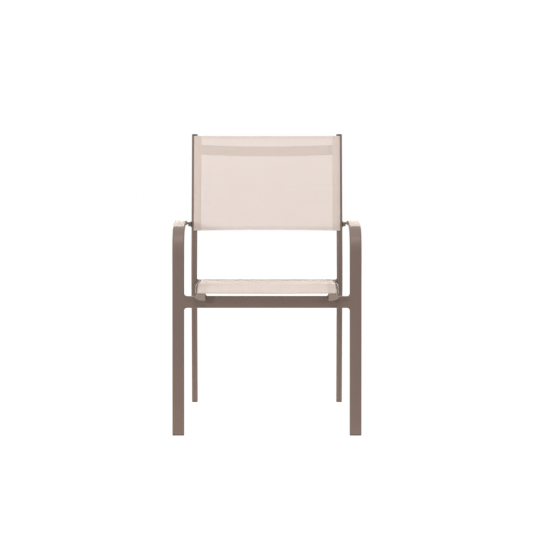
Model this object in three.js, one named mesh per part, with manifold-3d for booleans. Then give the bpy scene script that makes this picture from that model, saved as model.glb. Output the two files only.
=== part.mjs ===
// Sling patio chair: an aluminium stacking armchair with a seat sling and a back sling.
// Units are millimetres. X runs to the right as seen from the front, Y to the rear, Z up.
// Depths are measured from the front face of the front legs; the finished chair is then
// moved so that the origin lies on the floor under the middle of its footprint.
// The chair is alike on both sides, so each sided piece is shaped for the right and mirrored.

import * as THREE from 'three';
import { mergeVertices } from 'three/addons/utils/BufferGeometryUtils.js';
import Module from 'manifold-3d';

const wasm = await Module();
wasm.setup();

// Fits that every piece shares
const clearance = 0.3; // between two pieces that meet
const cutOverrun = 6; // how far a cutting shape reaches past what it cuts
const tubeWall = 1.8;

// Arm tubes: each is a front leg and an armrest bent from one flat-sided tube
const armTubeHalfSpan = 284.2; // outer face at the bend, from the middle of the chair
const armTubeWidth = 35.7;
const armTubeThickness = 15;
const armTubeEdgeRadius = 4;
const armTopHeight = 632;
const armBendRadius = 67.5; // to the middle of the tube
const armFall = THREE.MathUtils.degToRad(1.7); // slope where the armrest leaves the bend
const armJointHeight = 593;
const armJointDrop = 1.2; // how far the bolt runs below the middle of the armrest
const armPastJoint = 14; // from the joint bolt to the rear end of the tube
const frontFootSplay = 3;
const armSplay = 7.3;

// Front crossbar, flush with the front legs
const crossbarHeight = 35.4;
const crossbarEdgeRadius = 3;
const crossbarWeldRadius = 8; // smoothed weld in each corner between crossbar and leg

// Rear uprights: each is a rear leg and one side of the back, from one grooved extrusion
const uprightSetIn = 6.9; // from a front leg's inner face to an upright's outer face
const uprightWidth = 18;
const uprightDepth = 28;
const uprightEdgeRadius = 4;
const rearFootDepth = 500;
const kneeDepth = 390;
const kneeHeight = 400;
const kneeRadius = 240;
const backTopDepth = 525;
const backTopHeight = 874.6;
const rearFootSplay = 3.2;

// Cross tubes between the uprights
const backTubeHeight = 32;
const backTubeThickness = 14;
const backTubeEdgeRadius = 6.5;
const backTubeDrop = 48; // from the top of the back to the middle of the tube
const backTubeBow = 30; // how far its middle stands behind its ends
const seatTubeHeight = 15;
const seatTubeWidth = 28; // from front to rear, as it lies flat
const seatTubeEdgeRadius = 3;
const seatTubeRise = 1.2; // above the corner where the rails' top meets the uprights

// Seat rails: grooved extrusions that rise to a crest and fall to the rear
const railSetIn = 6.7; // from an upright's inner face to a rail's outer face
const railWidth = 31.9;
const railHeight = 20.4;
const railInnerRadius = 2;
const railLipRadius = 2.5;
const railBellyWidth = 27; // the outer lower corner is a quarter of an ellipse
const railBellyHeight = 12.2;
const railHollowCornerHeight = 4.2;
const railFrontDepth = -19; // the rails reach out in front of the legs
const seatCrestDepth = 75;
const seatCrestHeight = 453.8;
const seatCrestRadius = 60;
const seatFrontSlope = THREE.MathUtils.degToRad(9.6);
const seatRearSlope = THREE.MathUtils.degToRad(6.56);
const railLetIn = 6; // how deep each rail sits in its notch in the crossbar

// Grooves that hold the sling edges
const grooveRadius = 4.4;
const grooveLip = 1.8; // wall between the groove and the face it opens in
const railMouthWidth = 5;
const railMouthInset = 4.6; // from the outer face of the rail to its groove mouth
const uprightMouthWidth = 3;
const uprightMouthInset = 7;

// Slings: open-weave fabric with a rod in a sewn pocket along each side
const slingThickness = 1;
const slingHemThickness = 2;
const slingHemWidth = 26;
const pocketRadius = 3.9;
const splineRadius = 2.6;
const seatSlingSag = 1;
const seatSlingFrontInset = 2;
const seatSlingRearInset = 6;
const backSlingSag = 4;
const backSlingTopInset = 3.5;
const backSlingHeight = 308;

// Plastic end pieces
const railCapShoulderWidth = 14; // its outer upper corner is a quarter of an ellipse
const railCapShoulderHeight = 8;
const capThickness = 2.6;
const capEdgeRadius = 0.7;
const capPlugLength = 7;
const glideThickness = 3;
const glidePlugLength = 18;

// Joint between each armrest and upright
const boltDiameter = 5;
const boltHeadDiameter = 9.5;
const boltHeadHeight = 2.8;
const boltSocketWidth = 3;
const boltSocketDepth = 1.6;
const boltTailLength = 2;
const jointSeatDiameter = 20; // of its foot on the upright
const jointSeatDrop = 3.9; // how far the foot is centred below the bolt
const jointSeatTopDiameter = 16.5;
const jointSeatTopDrop = 3.4;
const jointSeatThickness = 2.8;
const jointSpacerDiameter = 15;
const jointSpacerDrop = 3.1;
const jointSpacerThickness = 2.8;
const jointBushDiameter = 13.8; // of its collar
const jointBushDrop = 3.1;
const jointBushNeckDiameter = 6.8;
const jointBushNeckLength = 3;
const lockNutWidth = 7;
const lockNutHeight = 4;

// How finely curves are divided
const cornerSteps = 3;
const cornerStepLength = 3.2;
const ringSteps = 12;
const turnSteps = 16;
const armBendSteps = 10;
const armRestSteps = 5;
const kneeSteps = 6;
const crestSteps = 5;
const bowSteps = 8;
const slingSteps = 6;

const frameFinish = { color: 0x807068, roughness: 0.45, metalness: 0.35 };
const slingFinish = { color: 0xe6dad1, roughness: 0.85, metalness: 0 };
const splineFinish = { color: 0xd9d4cc, roughness: 0.5, metalness: 0 };
const capFinish = { color: 0x968a81, roughness: 0.55, metalness: 0 };
const glideFinish = { color: 0x5b504a, roughness: 0.6, metalness: 0 };
const jointFinish = { color: 0x574941, roughness: 0.7, metalness: 0 };
const steelFinish = { color: 0xb9b5b2, roughness: 0.35, metalness: 0.9 };

const acrossX = new THREE.Vector3(1, 0, 0);

// Outer faces of the uprights and of the rails, from the middle of the chair
const uprightHalfSpan = armTubeHalfSpan - armTubeWidth - uprightSetIn;
const railHalfSpan = uprightHalfSpan - uprightWidth - railSetIn;

/**
 * A line bent in an upright plane, made of straight runs and arcs.
 * A heading is an angle turned from the rear (+Y) towards up (+Z).
 */
class BentLine {
  constructor(y, z, heading) {
    this.tip = { y, z, heading };
    this.length = 0;
    this.runs = [];
  }

  static travel({ start, length, turn }, travelled) {
    const turned = (turn * travelled) / length;
    const chord = turned === 0 ? travelled : (2 * travelled * Math.sin(turned / 2)) / turned;
    const bearing = start.heading + turned / 2;
    return {
      y: start.y + chord * Math.cos(bearing),
      z: start.z + chord * Math.sin(bearing),
      heading: start.heading + turned,
    };
  }

  extend(length, turn, steps) {
    const run = { start: this.tip, from: this.length, length, turn, steps };
    this.runs.push(run);
    this.length += length;
    this.tip = BentLine.travel(run, length);
    return this;
  }

  straight(length) {
    return this.extend(length, 0, 1);
  }

  bend(radius, turn, steps) {
    return this.extend(radius * Math.abs(turn), turn, steps);
  }

  /** Adds the arc that leaves the tip without a kink and ends at the given point. */
  arcTo(y, z, steps) {
    const chord = Math.hypot(y - this.tip.y, z - this.tip.z);
    const turn = 2 * (Math.atan2(z - this.tip.z, y - this.tip.y) - this.tip.heading);
    const length = turn === 0 ? chord : (chord * turn) / (2 * Math.sin(turn / 2));
    return this.extend(length, turn, steps);
  }

  /** The place and heading at a distance along the line; the first and last runs go on past it. */
  at(distance) {
    const run = this.runs.find(({ from, length }) => distance <= from + length) ?? this.runs.at(-1);
    return BentLine.travel(run, distance - run.from);
  }

  /** The distance along the line at which a coordinate that keeps growing reaches a value. */
  distanceWhere(coordinate, value) {
    let low = 0;
    let high = this.length;
    for (let halving = 0; halving < 50; halving += 1) {
      const middle = (low + high) / 2;
      if (this.at(middle)[coordinate] < value) low = middle;
      else high = middle;
    }
    return (low + high) / 2;
  }

  /** Distances from one to another that follow every bend between them. */
  stops(from, to) {
    const inner = this.runs.flatMap((run) =>
      Array.from({ length: run.steps + 1 }, (_, step) => run.from + (run.length * step) / run.steps),
    );
    const least = clearance / 2;
    const kept = inner.filter((stop, order) => order === 0 || stop - inner[order - 1] > least);
    return [from, ...kept.filter((stop) => stop > from + least && stop < to - least), to];
  }

  /** Stations for a sweep along part of the line, at a sideways place that may change on the way. */
  stations(from, to, sideways = () => 0) {
    return this.stops(from, to).map((stop) => {
      const { y, z, heading } = this.at(stop);
      return {
        point: new THREE.Vector3(sideways(stop), y, z),
        along: new THREE.Vector3(0, Math.cos(heading), Math.sin(heading)),
      };
    });
  }
}

/** An extrusion path through given stations that keeps one side of the section level. */
class StationPath extends THREE.Curve {
  constructor(stations, side) {
    super();
    this.stations = stations;
    this.side = side;
  }

  getPointAt(share) {
    return this.stations[Math.round(share * (this.stations.length - 1))].point;
  }

  computeFrenetFrames() {
    const tangents = this.stations.map(({ along }) => along);
    const normals = tangents.map(() => this.side);
    const binormals = tangents.map((along) => new THREE.Vector3().crossVectors(along, this.side));
    return { tangents, normals, binormals };
  }
}

/** Keeps only the places of a geometry's corners and merges those that coincide. */
function welded(geometry) {
  const bare = geometry.clone();
  bare.deleteAttribute('normal');
  bare.deleteAttribute('uv');
  return mergeVertices(bare);
}

function solidOf(geometry) {
  const { attributes, index } = welded(geometry);
  const vertProperties = new Float32Array(attributes.position.array);
  const triVerts = new Uint32Array(index.array);
  return new wasm.Manifold(new wasm.Mesh({ numProp: 3, vertProperties, triVerts }));
}

function geometryOf(solid) {
  const { vertProperties, triVerts } = solid.getMesh();
  const geometry = new THREE.BufferGeometry();
  geometry.setAttribute('position', new THREE.BufferAttribute(vertProperties, 3));
  geometry.setIndex(new THREE.BufferAttribute(triVerts, 1));
  return geometry;
}

function joined(first, ...others) {
  return geometryOf(others.reduce((solid, other) => solid.add(solidOf(other)), solidOf(first)));
}

function cut(body, ...tools) {
  return geometryOf(tools.reduce((solid, tool) => solid.subtract(solidOf(tool)), solidOf(body)));
}

function common(first, second) {
  return geometryOf(solidOf(first).intersect(solidOf(second)));
}

/** The same piece for the other side of the chair. */
function mirrored(geometry) {
  const other = welded(geometry);
  other.scale(-1, 1, 1);
  const corners = other.index.array;
  for (let first = 0; first < corners.length; first += 3) {
    [corners[first], corners[first + 1]] = [corners[first + 1], corners[first]];
  }
  return other;
}

function sweep(section, stations, side = acrossX) {
  const extrudePath = new StationPath(stations, side);
  return new THREE.ExtrudeGeometry(section, { steps: stations.length - 1, extrudePath });
}

function block(left, right, front, rear, bottom, top) {
  const geometry = new THREE.BoxGeometry(right - left, rear - front, top - bottom);
  return geometry.translate((left + right) / 2, (front + rear) / 2, (bottom + top) / 2);
}

/** A round pin along X, from one X to another. */
function pinAcross(diameter, left, right, y, z, sides = turnSteps) {
  const pin = new THREE.CylinderGeometry(diameter / 2, diameter / 2, right - left, sides);
  return pin.rotateZ(Math.PI / 2).translate((left + right) / 2, y, z);
}

function arcPoints(x, y, radius, from, to, steps) {
  return Array.from({ length: steps + 1 }, (_, step) => {
    const angle = from + ((to - from) * step) / steps;
    return new THREE.Vector2(x + radius * Math.cos(angle), y + radius * Math.sin(angle));
  });
}

/**
 * A rectangle whose corners are rounded, from low left anticlockwise. Each corner is a quarter
 * of an ellipse of its own width and height.
 */
function roundedPoints(left, right, low, high, corners) {
  const [lowLeft, lowRight, highRight, highLeft] = corners;
  const quarter = Math.PI / 2;
  const corner = (x, y, { width, height }, from) => {
    const arc = (quarter * (width + height)) / 2;
    const steps = Math.max(cornerSteps, Math.round(arc / cornerStepLength));
    return arcPoints(0, 0, 1, from, from + quarter, steps).map(
      (point) => new THREE.Vector2(x + width * point.x, y + height * point.y),
    );
  };
  return [
    ...corner(left + lowLeft.width, low + lowLeft.height, lowLeft, 2 * quarter),
    ...corner(right - lowRight.width, low + lowRight.height, lowRight, -quarter),
    ...corner(right - highRight.width, high - highRight.height, highRight, 0),
    ...corner(left + highLeft.width, high - highLeft.height, highLeft, quarter),
  ];
}

function roundCorner(radius) {
  return { width: radius, height: radius };
}

function roundedShape(left, right, low, high, radius) {
  const corner = roundCorner(radius);
  return new THREE.Shape(roundedPoints(left, right, low, high, [corner, corner, corner, corner]));
}

/** A rounded rectangle centred on the sweep line, drawn in all round by an inset. */
function centredShape(width, height, radius, inset = 0) {
  const halfWidth = width / 2 - inset;
  const halfHeight = height / 2 - inset;
  return roundedShape(-halfWidth, halfWidth, -halfHeight, halfHeight, radius - inset);
}

function tubeShape(width, height, radius) {
  const shape = centredShape(width, height, radius);
  shape.holes.push(centredShape(width, height, radius, tubeWall));
  return shape;
}

/** The round groove and its mouth, as seen in a section whose open face is at zero depth. */
function grooveShape(centre, mouthWidth, radius, top) {
  const half = mouthWidth / 2;
  const opening = Math.asin(Math.min(half / radius, 1));
  const middle = grooveLip + Math.sqrt(Math.max(grooveRadius ** 2 - half ** 2, 0));
  const up = -Math.PI / 2;
  const round = arcPoints(centre, middle, radius, up + opening, up + 2 * Math.PI - opening, ringSteps);
  return new THREE.Shape([
    new THREE.Vector2(centre - half, top),
    new THREE.Vector2(centre + half, top),
    ...round,
  ]);
}

/** How deep the middle of a groove lies under its open face. */
function grooveDepth(mouthWidth) {
  return grooveLip + Math.sqrt(grooveRadius ** 2 - (mouthWidth / 2) ** 2);
}

// Seat rails
const railMiddle = railHalfSpan - railWidth / 2;
const railGrooveMiddle = railWidth / 2 - railMouthInset - railMouthWidth / 2;
const railGrooveDepth = grooveDepth(railMouthWidth);
const crestTangent = seatCrestRadius * Math.tan((seatFrontSlope + seatRearSlope) / 2);
const railRise = (seatCrestDepth - railFrontDepth) / Math.cos(seatFrontSlope);

/** The top of the seat rails, from their front end to well behind the uprights. */
function makeRailLine() {
  const frontHeight = seatCrestHeight - railRise * Math.sin(seatFrontSlope);
  const line = new BentLine(railFrontDepth, frontHeight, seatFrontSlope);
  line.straight(railRise - crestTangent);
  line.bend(seatCrestRadius, -(seatFrontSlope + seatRearSlope), crestSteps);
  return line.straight(backTopDepth);
}

/** The front faces of the uprights, from the floor to the top of the back. */
function makeUprightLine() {
  const legLean = Math.atan2(rearFootDepth - kneeDepth, kneeHeight);
  const recline = Math.atan2(backTopDepth - kneeDepth, backTopHeight - kneeHeight);
  const legLength = Math.hypot(rearFootDepth - kneeDepth, kneeHeight);
  const backLength = Math.hypot(backTopDepth - kneeDepth, backTopHeight - kneeHeight);
  const tangent = kneeRadius * Math.tan((legLean + recline) / 2);
  const line = new BentLine(rearFootDepth, 0, Math.PI / 2 + legLean);
  line.straight(legLength - tangent);
  line.bend(kneeRadius, -(legLean + recline), kneeSteps);
  return line.straight(backLength - tangent - capThickness - clearance);
}

const railLine = makeRailLine();
const uprightLine = makeUprightLine();
const uprightMiddle = uprightHalfSpan - uprightWidth / 2;
const uprightGrooveMiddle = uprightWidth / 2 - uprightMouthInset - uprightMouthWidth / 2;
const uprightGrooveDepth = grooveDepth(uprightMouthWidth);

/** Where the top of the seat rails meets the front of the uprights. */
function findSeatCorner() {
  let y = kneeDepth;
  let z = kneeHeight;
  for (let round = 0; round < 20; round += 1) {
    z = railLine.at(railLine.distanceWhere('y', y)).z;
    y = uprightLine.at(uprightLine.distanceWhere('z', z)).y;
  }
  return { y, z };
}

const seatCorner = findSeatCorner();
const seatTubeFront = seatCorner.y + (uprightDepth - seatTubeWidth) / 2;
const railEndDepth = seatTubeFront - clearance;
const railLength = railLine.distanceWhere('y', railEndDepth);

/** A place on the upright, at a height and a depth behind its front face. */
function behindUprightFace(height, depth) {
  let { y, z, heading } = uprightLine.at(uprightLine.distanceWhere('z', height));
  const lift = depth * Math.cos(heading);
  ({ y, z, heading } = uprightLine.at(uprightLine.distanceWhere('z', height + lift)));
  return { y: y + depth * Math.sin(heading), z: z - depth * Math.cos(heading) };
}

// The hollow of each extrusion, behind its groove
const uprightHollowNear = uprightGrooveDepth + grooveRadius + tubeWall;
const uprightHollowMiddle = (uprightHollowNear + uprightDepth - tubeWall) / 2;
const railHollowRight = railGrooveMiddle - grooveRadius - tubeWall;

function uprightHollowShape(inset = 0) {
  const half = uprightWidth / 2 - tubeWall - inset;
  const low = uprightHollowNear + inset;
  const high = uprightDepth - tubeWall - inset;
  return roundedShape(-half, half, low, high, uprightEdgeRadius - tubeWall);
}

function railHollowShape(inset = 0) {
  const left = -railWidth / 2 + tubeWall + inset;
  const right = railHollowRight - inset;
  const corner = roundCorner(railInnerRadius);
  const belly = {
    width: railBellyWidth - (railWidth / 2 - right),
    height: railHollowCornerHeight - inset,
  };
  const corners = [corner, corner, belly, corner];
  const high = railHeight - tubeWall - inset;
  return new THREE.Shape(roundedPoints(left, right, tubeWall + inset, high, corners));
}

function uprightOutline() {
  return roundedShape(-uprightWidth / 2, uprightWidth / 2, 0, uprightDepth, uprightEdgeRadius);
}

function railOutline(lip = roundCorner(railLipRadius), margin = 0) {
  const inner = roundCorner(railInnerRadius + margin);
  const belly = { width: railBellyWidth + margin, height: railBellyHeight + margin };
  const half = railWidth / 2 + margin;
  const corners = [inner, lip, belly, inner];
  return new THREE.Shape(roundedPoints(-half, half, -margin, railHeight + margin, corners));
}

// Arm joint, which the arm tube, the upright and the fasteners share
const armJoint = behindUprightFace(armJointHeight, uprightHollowMiddle);
const armMiddle = armTubeHalfSpan - armTubeWidth / 2;

/** The middle of the front leg and the armrest, from the floor to the rear end. */
function makeArmLine() {
  const bendTurn = Math.PI / 2 + armFall;
  const topMiddle = armTopHeight - armTubeThickness / 2;
  const legTop = topMiddle - armBendRadius;
  const line = new BentLine(armTubeThickness / 2, 0, Math.PI / 2);
  line.straight(legTop);
  line.bend(armBendRadius, -bendTurn, armBendSteps);
  line.arcTo(armJoint.y, armJoint.z + armJointDrop, armRestSteps);
  return line.straight(armPastJoint);
}

const armLine = makeArmLine();
const legLength = armLine.runs[0].length;
const restFrom = armLine.runs[2].from;
const armJointDistance = armLine.length - armPastJoint;

/** How far out the arm tube's middle stands: the foot and the rear end both splay out. */
function armSideways(distance) {
  const footShare = Math.max(1 - distance / legLength, 0);
  const restShare = Math.max((distance - restFrom) / (armLine.length - restFrom), 0);
  return armMiddle + frontFootSplay * footShare + armSplay * Math.sin((restShare * Math.PI) / 2);
}

/** How far out the upright's middle stands: only the rear leg splays out. */
function uprightSideways(distance) {
  const footShare = Math.max(1 - distance / uprightLine.runs[0].length, 0);
  return uprightMiddle + rearFootSplay * footShare;
}

function belowHeight(height) {
  const reach = armTubeHalfSpan + armTubeWidth;
  return block(-reach, reach, -reach, backTopDepth + reach, -reach, height);
}

function behindDepth(depth) {
  const reach = armTubeHalfSpan + armTubeWidth;
  return block(-reach, reach, depth, depth + reach, -reach, backTopHeight);
}

function armTubeGeometry() {
  const section = tubeShape(armTubeWidth, armTubeThickness, armTubeEdgeRadius);
  const from = glideThickness + clearance;
  const tube = sweep(section, armLine.stations(from, armLine.length, armSideways));
  const inner = armSideways(armJointDistance) - armTubeWidth / 2;
  const hole = boltDiameter + 2 * clearance;
  return cut(tube, pinAcross(hole, inner - cutOverrun, inner + cutOverrun, armJoint.y, armJoint.z));
}

function uprightGeometry() {
  const before = -cutOverrun;
  const after = uprightLine.length + cutOverrun;
  const body = uprightLine.stations(before, uprightLine.length, uprightSideways);
  const through = uprightLine.stations(2 * before, after, uprightSideways);
  const groove = grooveShape(uprightGrooveMiddle, uprightMouthWidth, grooveRadius, before);
  const outer = uprightHalfSpan + cutOverrun;
  const inner = uprightHalfSpan - uprightWidth - cutOverrun;
  return cut(
    sweep(uprightOutline(), body),
    sweep(groove, through),
    sweep(uprightHollowShape(), through),
    pinAcross(boltDiameter + 2 * clearance, inner, outer, armJoint.y, armJoint.z),
    belowHeight(glideThickness + clearance),
  );
}

/** The strip that closes the groove of an upright below the back sling. */
function grooveStripGeometry() {
  const sideways = (distance) => uprightSideways(distance) + uprightGrooveMiddle;
  const stations = uprightLine.stations(-cutOverrun, backSlingFrom - clearance, sideways);
  const width = uprightMouthWidth - 2 * clearance;
  const section = grooveShape(0, width, grooveRadius - clearance, clearance);
  return cut(sweep(section, stations), belowHeight(glideThickness + clearance));
}

function railGeometry() {
  const sideways = () => railMiddle;
  const after = railLine.at(railLength).y + cutOverrun;
  const end = railLine.distanceWhere('y', after);
  const body = railLine.stations(0, end, sideways);
  const through = railLine.stations(-cutOverrun, end + cutOverrun, sideways);
  const groove = grooveShape(railGrooveMiddle, railMouthWidth, grooveRadius, -cutOverrun);
  return cut(
    sweep(railOutline(), body),
    sweep(groove, through),
    sweep(railHollowShape(), through),
    behindDepth(railEndDepth),
  );
}

const crossbarMiddleDepth = armTubeThickness / 2;
const railOverCrossbar = railLine.at(railLine.distanceWhere('y', crossbarMiddleDepth));
const railUnderside = railOverCrossbar.z - railHeight / Math.cos(railOverCrossbar.heading);
const crossbarTop = railUnderside + railLetIn;
const crossbarMiddleHeight = crossbarTop - crossbarHeight / 2;

/** Front view of the crossbar: a bar whose ends flare into the smoothed welds at the legs. */
function crossbarOutline(halfLength) {
  const half = crossbarHeight / 2;
  const radius = crossbarWeldRadius;
  const quarter = Math.PI / 2;
  const corner = halfLength - radius;
  return new THREE.Shape([
    ...arcPoints(corner, -half - radius, radius, quarter, 0, cornerSteps),
    new THREE.Vector2(halfLength + armTubeWidth / 2, -half - radius),
    new THREE.Vector2(halfLength + armTubeWidth / 2, half + radius),
    ...arcPoints(corner, half + radius, radius, 0, -quarter, cornerSteps),
    ...arcPoints(-corner, half + radius, radius, -quarter, -2 * quarter, cornerSteps),
    new THREE.Vector2(-halfLength - armTubeWidth / 2, half + radius),
    new THREE.Vector2(-halfLength - armTubeWidth / 2, -half - radius),
    ...arcPoints(-corner, -half - radius, radius, 2 * quarter, quarter, cornerSteps),
  ]);
}

/** The space that an arm tube fills where the crossbar meets it, with the fit's clearance. */
function legSpace() {
  const margin = -clearance;
  const section = centredShape(armTubeWidth, armTubeThickness, armTubeEdgeRadius, margin);
  return sweep(section, armLine.stations(0, legLength, armSideways));
}

function railSpace() {
  const stations = railLine.stations(-cutOverrun, railLength, () => railMiddle);
  const section = railOutline(roundCorner(railLipRadius + clearance), clearance);
  return sweep(section, stations);
}

/** The crossbar about its own middle; its notches and ends are cut where it will lie. */
function crossbarGeometry() {
  const legAtBar = armSideways(armLine.distanceWhere('z', crossbarMiddleHeight));
  const halfLength = legAtBar - armTubeWidth / 2;
  const bar = new THREE.ExtrudeGeometry(crossbarOutline(halfLength), {
    depth: armTubeThickness - 2 * crossbarEdgeRadius,
    bevelThickness: crossbarEdgeRadius,
    bevelSize: crossbarEdgeRadius,
    bevelOffset: -crossbarEdgeRadius,
    bevelSegments: cornerSteps - 1,
  });
  bar.translate(0, 0, crossbarEdgeRadius - armTubeThickness / 2).rotateX(Math.PI / 2);
  const hollow = block(
    -halfLength - armTubeWidth,
    halfLength + armTubeWidth,
    tubeWall - armTubeThickness / 2,
    armTubeThickness / 2 - tubeWall,
    tubeWall - crossbarHeight / 2,
    crossbarHeight / 2 - tubeWall,
  );
  const spaces = [legSpace(), mirrored(legSpace()), railSpace(), mirrored(railSpace())];
  const local = spaces.map((space) => space.translate(0, -crossbarMiddleDepth, -crossbarMiddleHeight));
  return cut(bar, hollow, ...local);
}

/** A straight or bowed tube across the chair, about its own middle, with its bow to the rear. */
function crossTubeGeometry(shape, halfLength, bow, steps) {
  const stations = Array.from({ length: steps + 1 }, (_, step) => {
    const share = (2 * step) / steps - 1;
    const slope = (-2 * bow * share) / halfLength;
    return {
      point: new THREE.Vector3(share * halfLength, bow * (1 - share ** 2), 0),
      along: new THREE.Vector3(1, slope, 0).normalize(),
    };
  });
  return sweep(shape, stations, new THREE.Vector3(0, 0, 1));
}

const betweenUprights = uprightMiddle - uprightWidth / 2 - clearance;

function seatTubeGeometry() {
  const shape = tubeShape(seatTubeHeight, seatTubeWidth, seatTubeEdgeRadius);
  return crossTubeGeometry(shape, betweenUprights, 0, 1);
}

/** The bowed tube, with its ends trimmed square to the uprights. */
function backTubeGeometry() {
  const shape = tubeShape(backTubeHeight, backTubeThickness, backTubeEdgeRadius);
  const longer = betweenUprights + backTubeThickness;
  const bow = backTubeBow * (longer / betweenUprights) ** 2;
  const tube = crossTubeGeometry(shape, longer, bow, bowSteps).translate(0, backTubeBow - bow, 0);
  const reach = backTubeBow + backTubeHeight;
  const beyond = block(betweenUprights, betweenUprights + reach, -reach, reach, -reach, reach);
  return cut(tube, beyond, mirrored(beyond));
}

/**
 * A sling across the chair, in the section of the grooves that hold it. Zero depth is the
 * face that the grooves open in, and the fabric runs just clear of it.
 */
function slingShape({ pocket, pocketDepth, neck, edge, sag }) {
  const outside = -clearance - slingHemThickness;
  const sagAt = (x) => sag * Math.max(1 - (x / edge) ** 4, 0);
  const point = (x, y) => new THREE.Vector2(x, y + sagAt(x));
  const halfNeck = slingHemThickness / 2;
  const opening = Math.asin(Math.abs(halfNeck / pocketRadius));
  const up = -Math.PI / 2;
  const acrossShares = Array.from({ length: slingSteps + 1 }, (_, step) => step / slingSteps);
  const hemInner = neck - slingHemWidth;
  const turn = slingHemThickness;
  const right = [
    ...acrossShares.map((share) => point(share * edge, outside)),
    ...arcPoints(neck + halfNeck - turn, outside + turn, turn, up, 0, cornerSteps),
    ...arcPoints(pocket, pocketDepth, pocketRadius, up + opening, up + 2 * Math.PI - opening, ringSteps),
    new THREE.Vector2(neck - halfNeck, -clearance),
    point(hemInner, -clearance),
    ...acrossShares.toReversed().map((share) => point(share * hemInner, outside + slingThickness)),
  ];
  const left = right.slice(1, -1).toReversed();
  const shape = new THREE.Shape([...right, ...left.map(({ x, y }) => new THREE.Vector2(-x, y))]);
  const bore = pocketRadius - slingThickness;
  for (const side of [-1, 1]) {
    shape.holes.push(new THREE.Path(arcPoints(side * pocket, pocketDepth, bore, 0, 2 * Math.PI, ringSteps)));
  }
  return shape;
}

const seatPocket = railMiddle + railGrooveMiddle - (grooveRadius - clearance - pocketRadius);
const seatNeck = railHalfSpan - railMouthInset - railMouthWidth + clearance + slingHemThickness / 2;
const backPocket = uprightMiddle + uprightGrooveMiddle;
const seatSlingFrom = seatSlingFrontInset;
const seatSlingTo = railLine.distanceWhere('y', railEndDepth - seatSlingRearInset);
const backSlingTo = uprightLine.length - backSlingTopInset;
const backSlingFrom = backSlingTo - backSlingHeight;

function seatSlingGeometry() {
  const section = slingShape({
    pocket: seatPocket,
    pocketDepth: railGrooveDepth,
    neck: seatNeck,
    edge: railHalfSpan - railWidth,
    sag: seatSlingSag,
  });
  return sweep(section, railLine.stations(seatSlingFrom, seatSlingTo));
}

function backSlingGeometry() {
  const section = slingShape({
    pocket: backPocket,
    pocketDepth: uprightGrooveDepth,
    neck: backPocket,
    edge: uprightHalfSpan - uprightWidth,
    sag: backSlingSag,
  });
  return sweep(section, uprightLine.stations(backSlingFrom, backSlingTo));
}

function splineGeometry(line, from, to, x, depth) {
  const section = new THREE.Shape(arcPoints(0, depth, splineRadius, 0, 2 * Math.PI, ringSteps));
  return sweep(section, line.stations(from, to, () => x));
}

/**
 * An end piece for a tube, with the tube's end at zero and Z pointing out of it: a plate with
 * softened edges as large as the tube, and a plug that fills its hollow.
 */
function endCapGeometry(outline, plug) {
  const plate = new THREE.ExtrudeGeometry(outline, {
    depth: capThickness - 2 * capEdgeRadius,
    bevelThickness: capEdgeRadius,
    bevelSize: capEdgeRadius,
    bevelOffset: -capEdgeRadius,
    bevelSegments: cornerSteps - 1,
  });
  const stem = new THREE.ExtrudeGeometry(plug, {
    depth: capPlugLength + clearance + capThickness / 2,
    bevelEnabled: false,
  });
  plate.translate(0, 0, clearance + capEdgeRadius);
  return joined(plate, stem.translate(0, 0, -capPlugLength));
}

/** Turns a section's points over, for a cap that looks back along the line. */
function turnedOver(shape) {
  return new THREE.Shape(shape.getPoints().map(({ x, y }) => new THREE.Vector2(x, -y)));
}

function railCapGeometry() {
  const outline = railOutline({ width: railCapShoulderWidth, height: railCapShoulderHeight });
  return endCapGeometry(turnedOver(outline), turnedOver(railHollowShape(clearance)));
}

function uprightCapGeometry() {
  return endCapGeometry(uprightOutline(), uprightHollowShape(clearance));
}

function armCapGeometry() {
  const outline = centredShape(armTubeWidth, armTubeThickness, armTubeEdgeRadius);
  const plug = centredShape(armTubeWidth, armTubeThickness, armTubeEdgeRadius, tubeWall + clearance);
  return endCapGeometry(outline, plug);
}

function frontGlideGeometry() {
  const extent = { depth: glideThickness, bevelEnabled: false };
  const outline = centredShape(armTubeWidth, armTubeThickness, armTubeEdgeRadius);
  const inset = tubeWall + clearance;
  const plug = centredShape(armTubeWidth, armTubeThickness, armTubeEdgeRadius, inset);
  const stemExtent = { depth: glideThickness + glidePlugLength, bevelEnabled: false };
  return joined(new THREE.ExtrudeGeometry(outline, extent), new THREE.ExtrudeGeometry(plug, stemExtent));
}

/** The rear glide follows the lean of its leg and is cut level with the floor. */
function rearGlideGeometry() {
  const stations = uprightLine.stations(-cutOverrun, glidePlugLength, uprightSideways);
  const reach = uprightHalfSpan + uprightWidth + cutOverrun;
  const slab = block(0, reach, 0, rearFootDepth + reach, 0, glideThickness);
  const pad = common(sweep(uprightOutline(), stations), slab);
  const stem = cut(sweep(uprightHollowShape(clearance), stations), belowHeight(glideThickness / 2));
  return joined(pad, stem);
}

/** A turned piece along X, from the (radius, X) points of its profile. */
function turned(profile, sides = turnSteps) {
  const points = profile.map(([radius, x]) => new THREE.Vector2(radius, x));
  return new THREE.LatheGeometry(points, sides).rotateZ(-Math.PI / 2);
}

/** How far the lock nut's corners hold it off the rounded wall inside the arm tube. */
function findLockNutLift() {
  const innerRadius = armTubeEdgeRadius - tubeWall;
  const cornerHeight = lockNutWidth / 2 / Math.cos(Math.PI / 6) + armJointDrop + clearance;
  const overRound = cornerHeight - (armTubeThickness / 2 - armTubeEdgeRadius);
  return innerRadius - Math.sqrt(innerRadius ** 2 - overRound ** 2);
}

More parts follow.
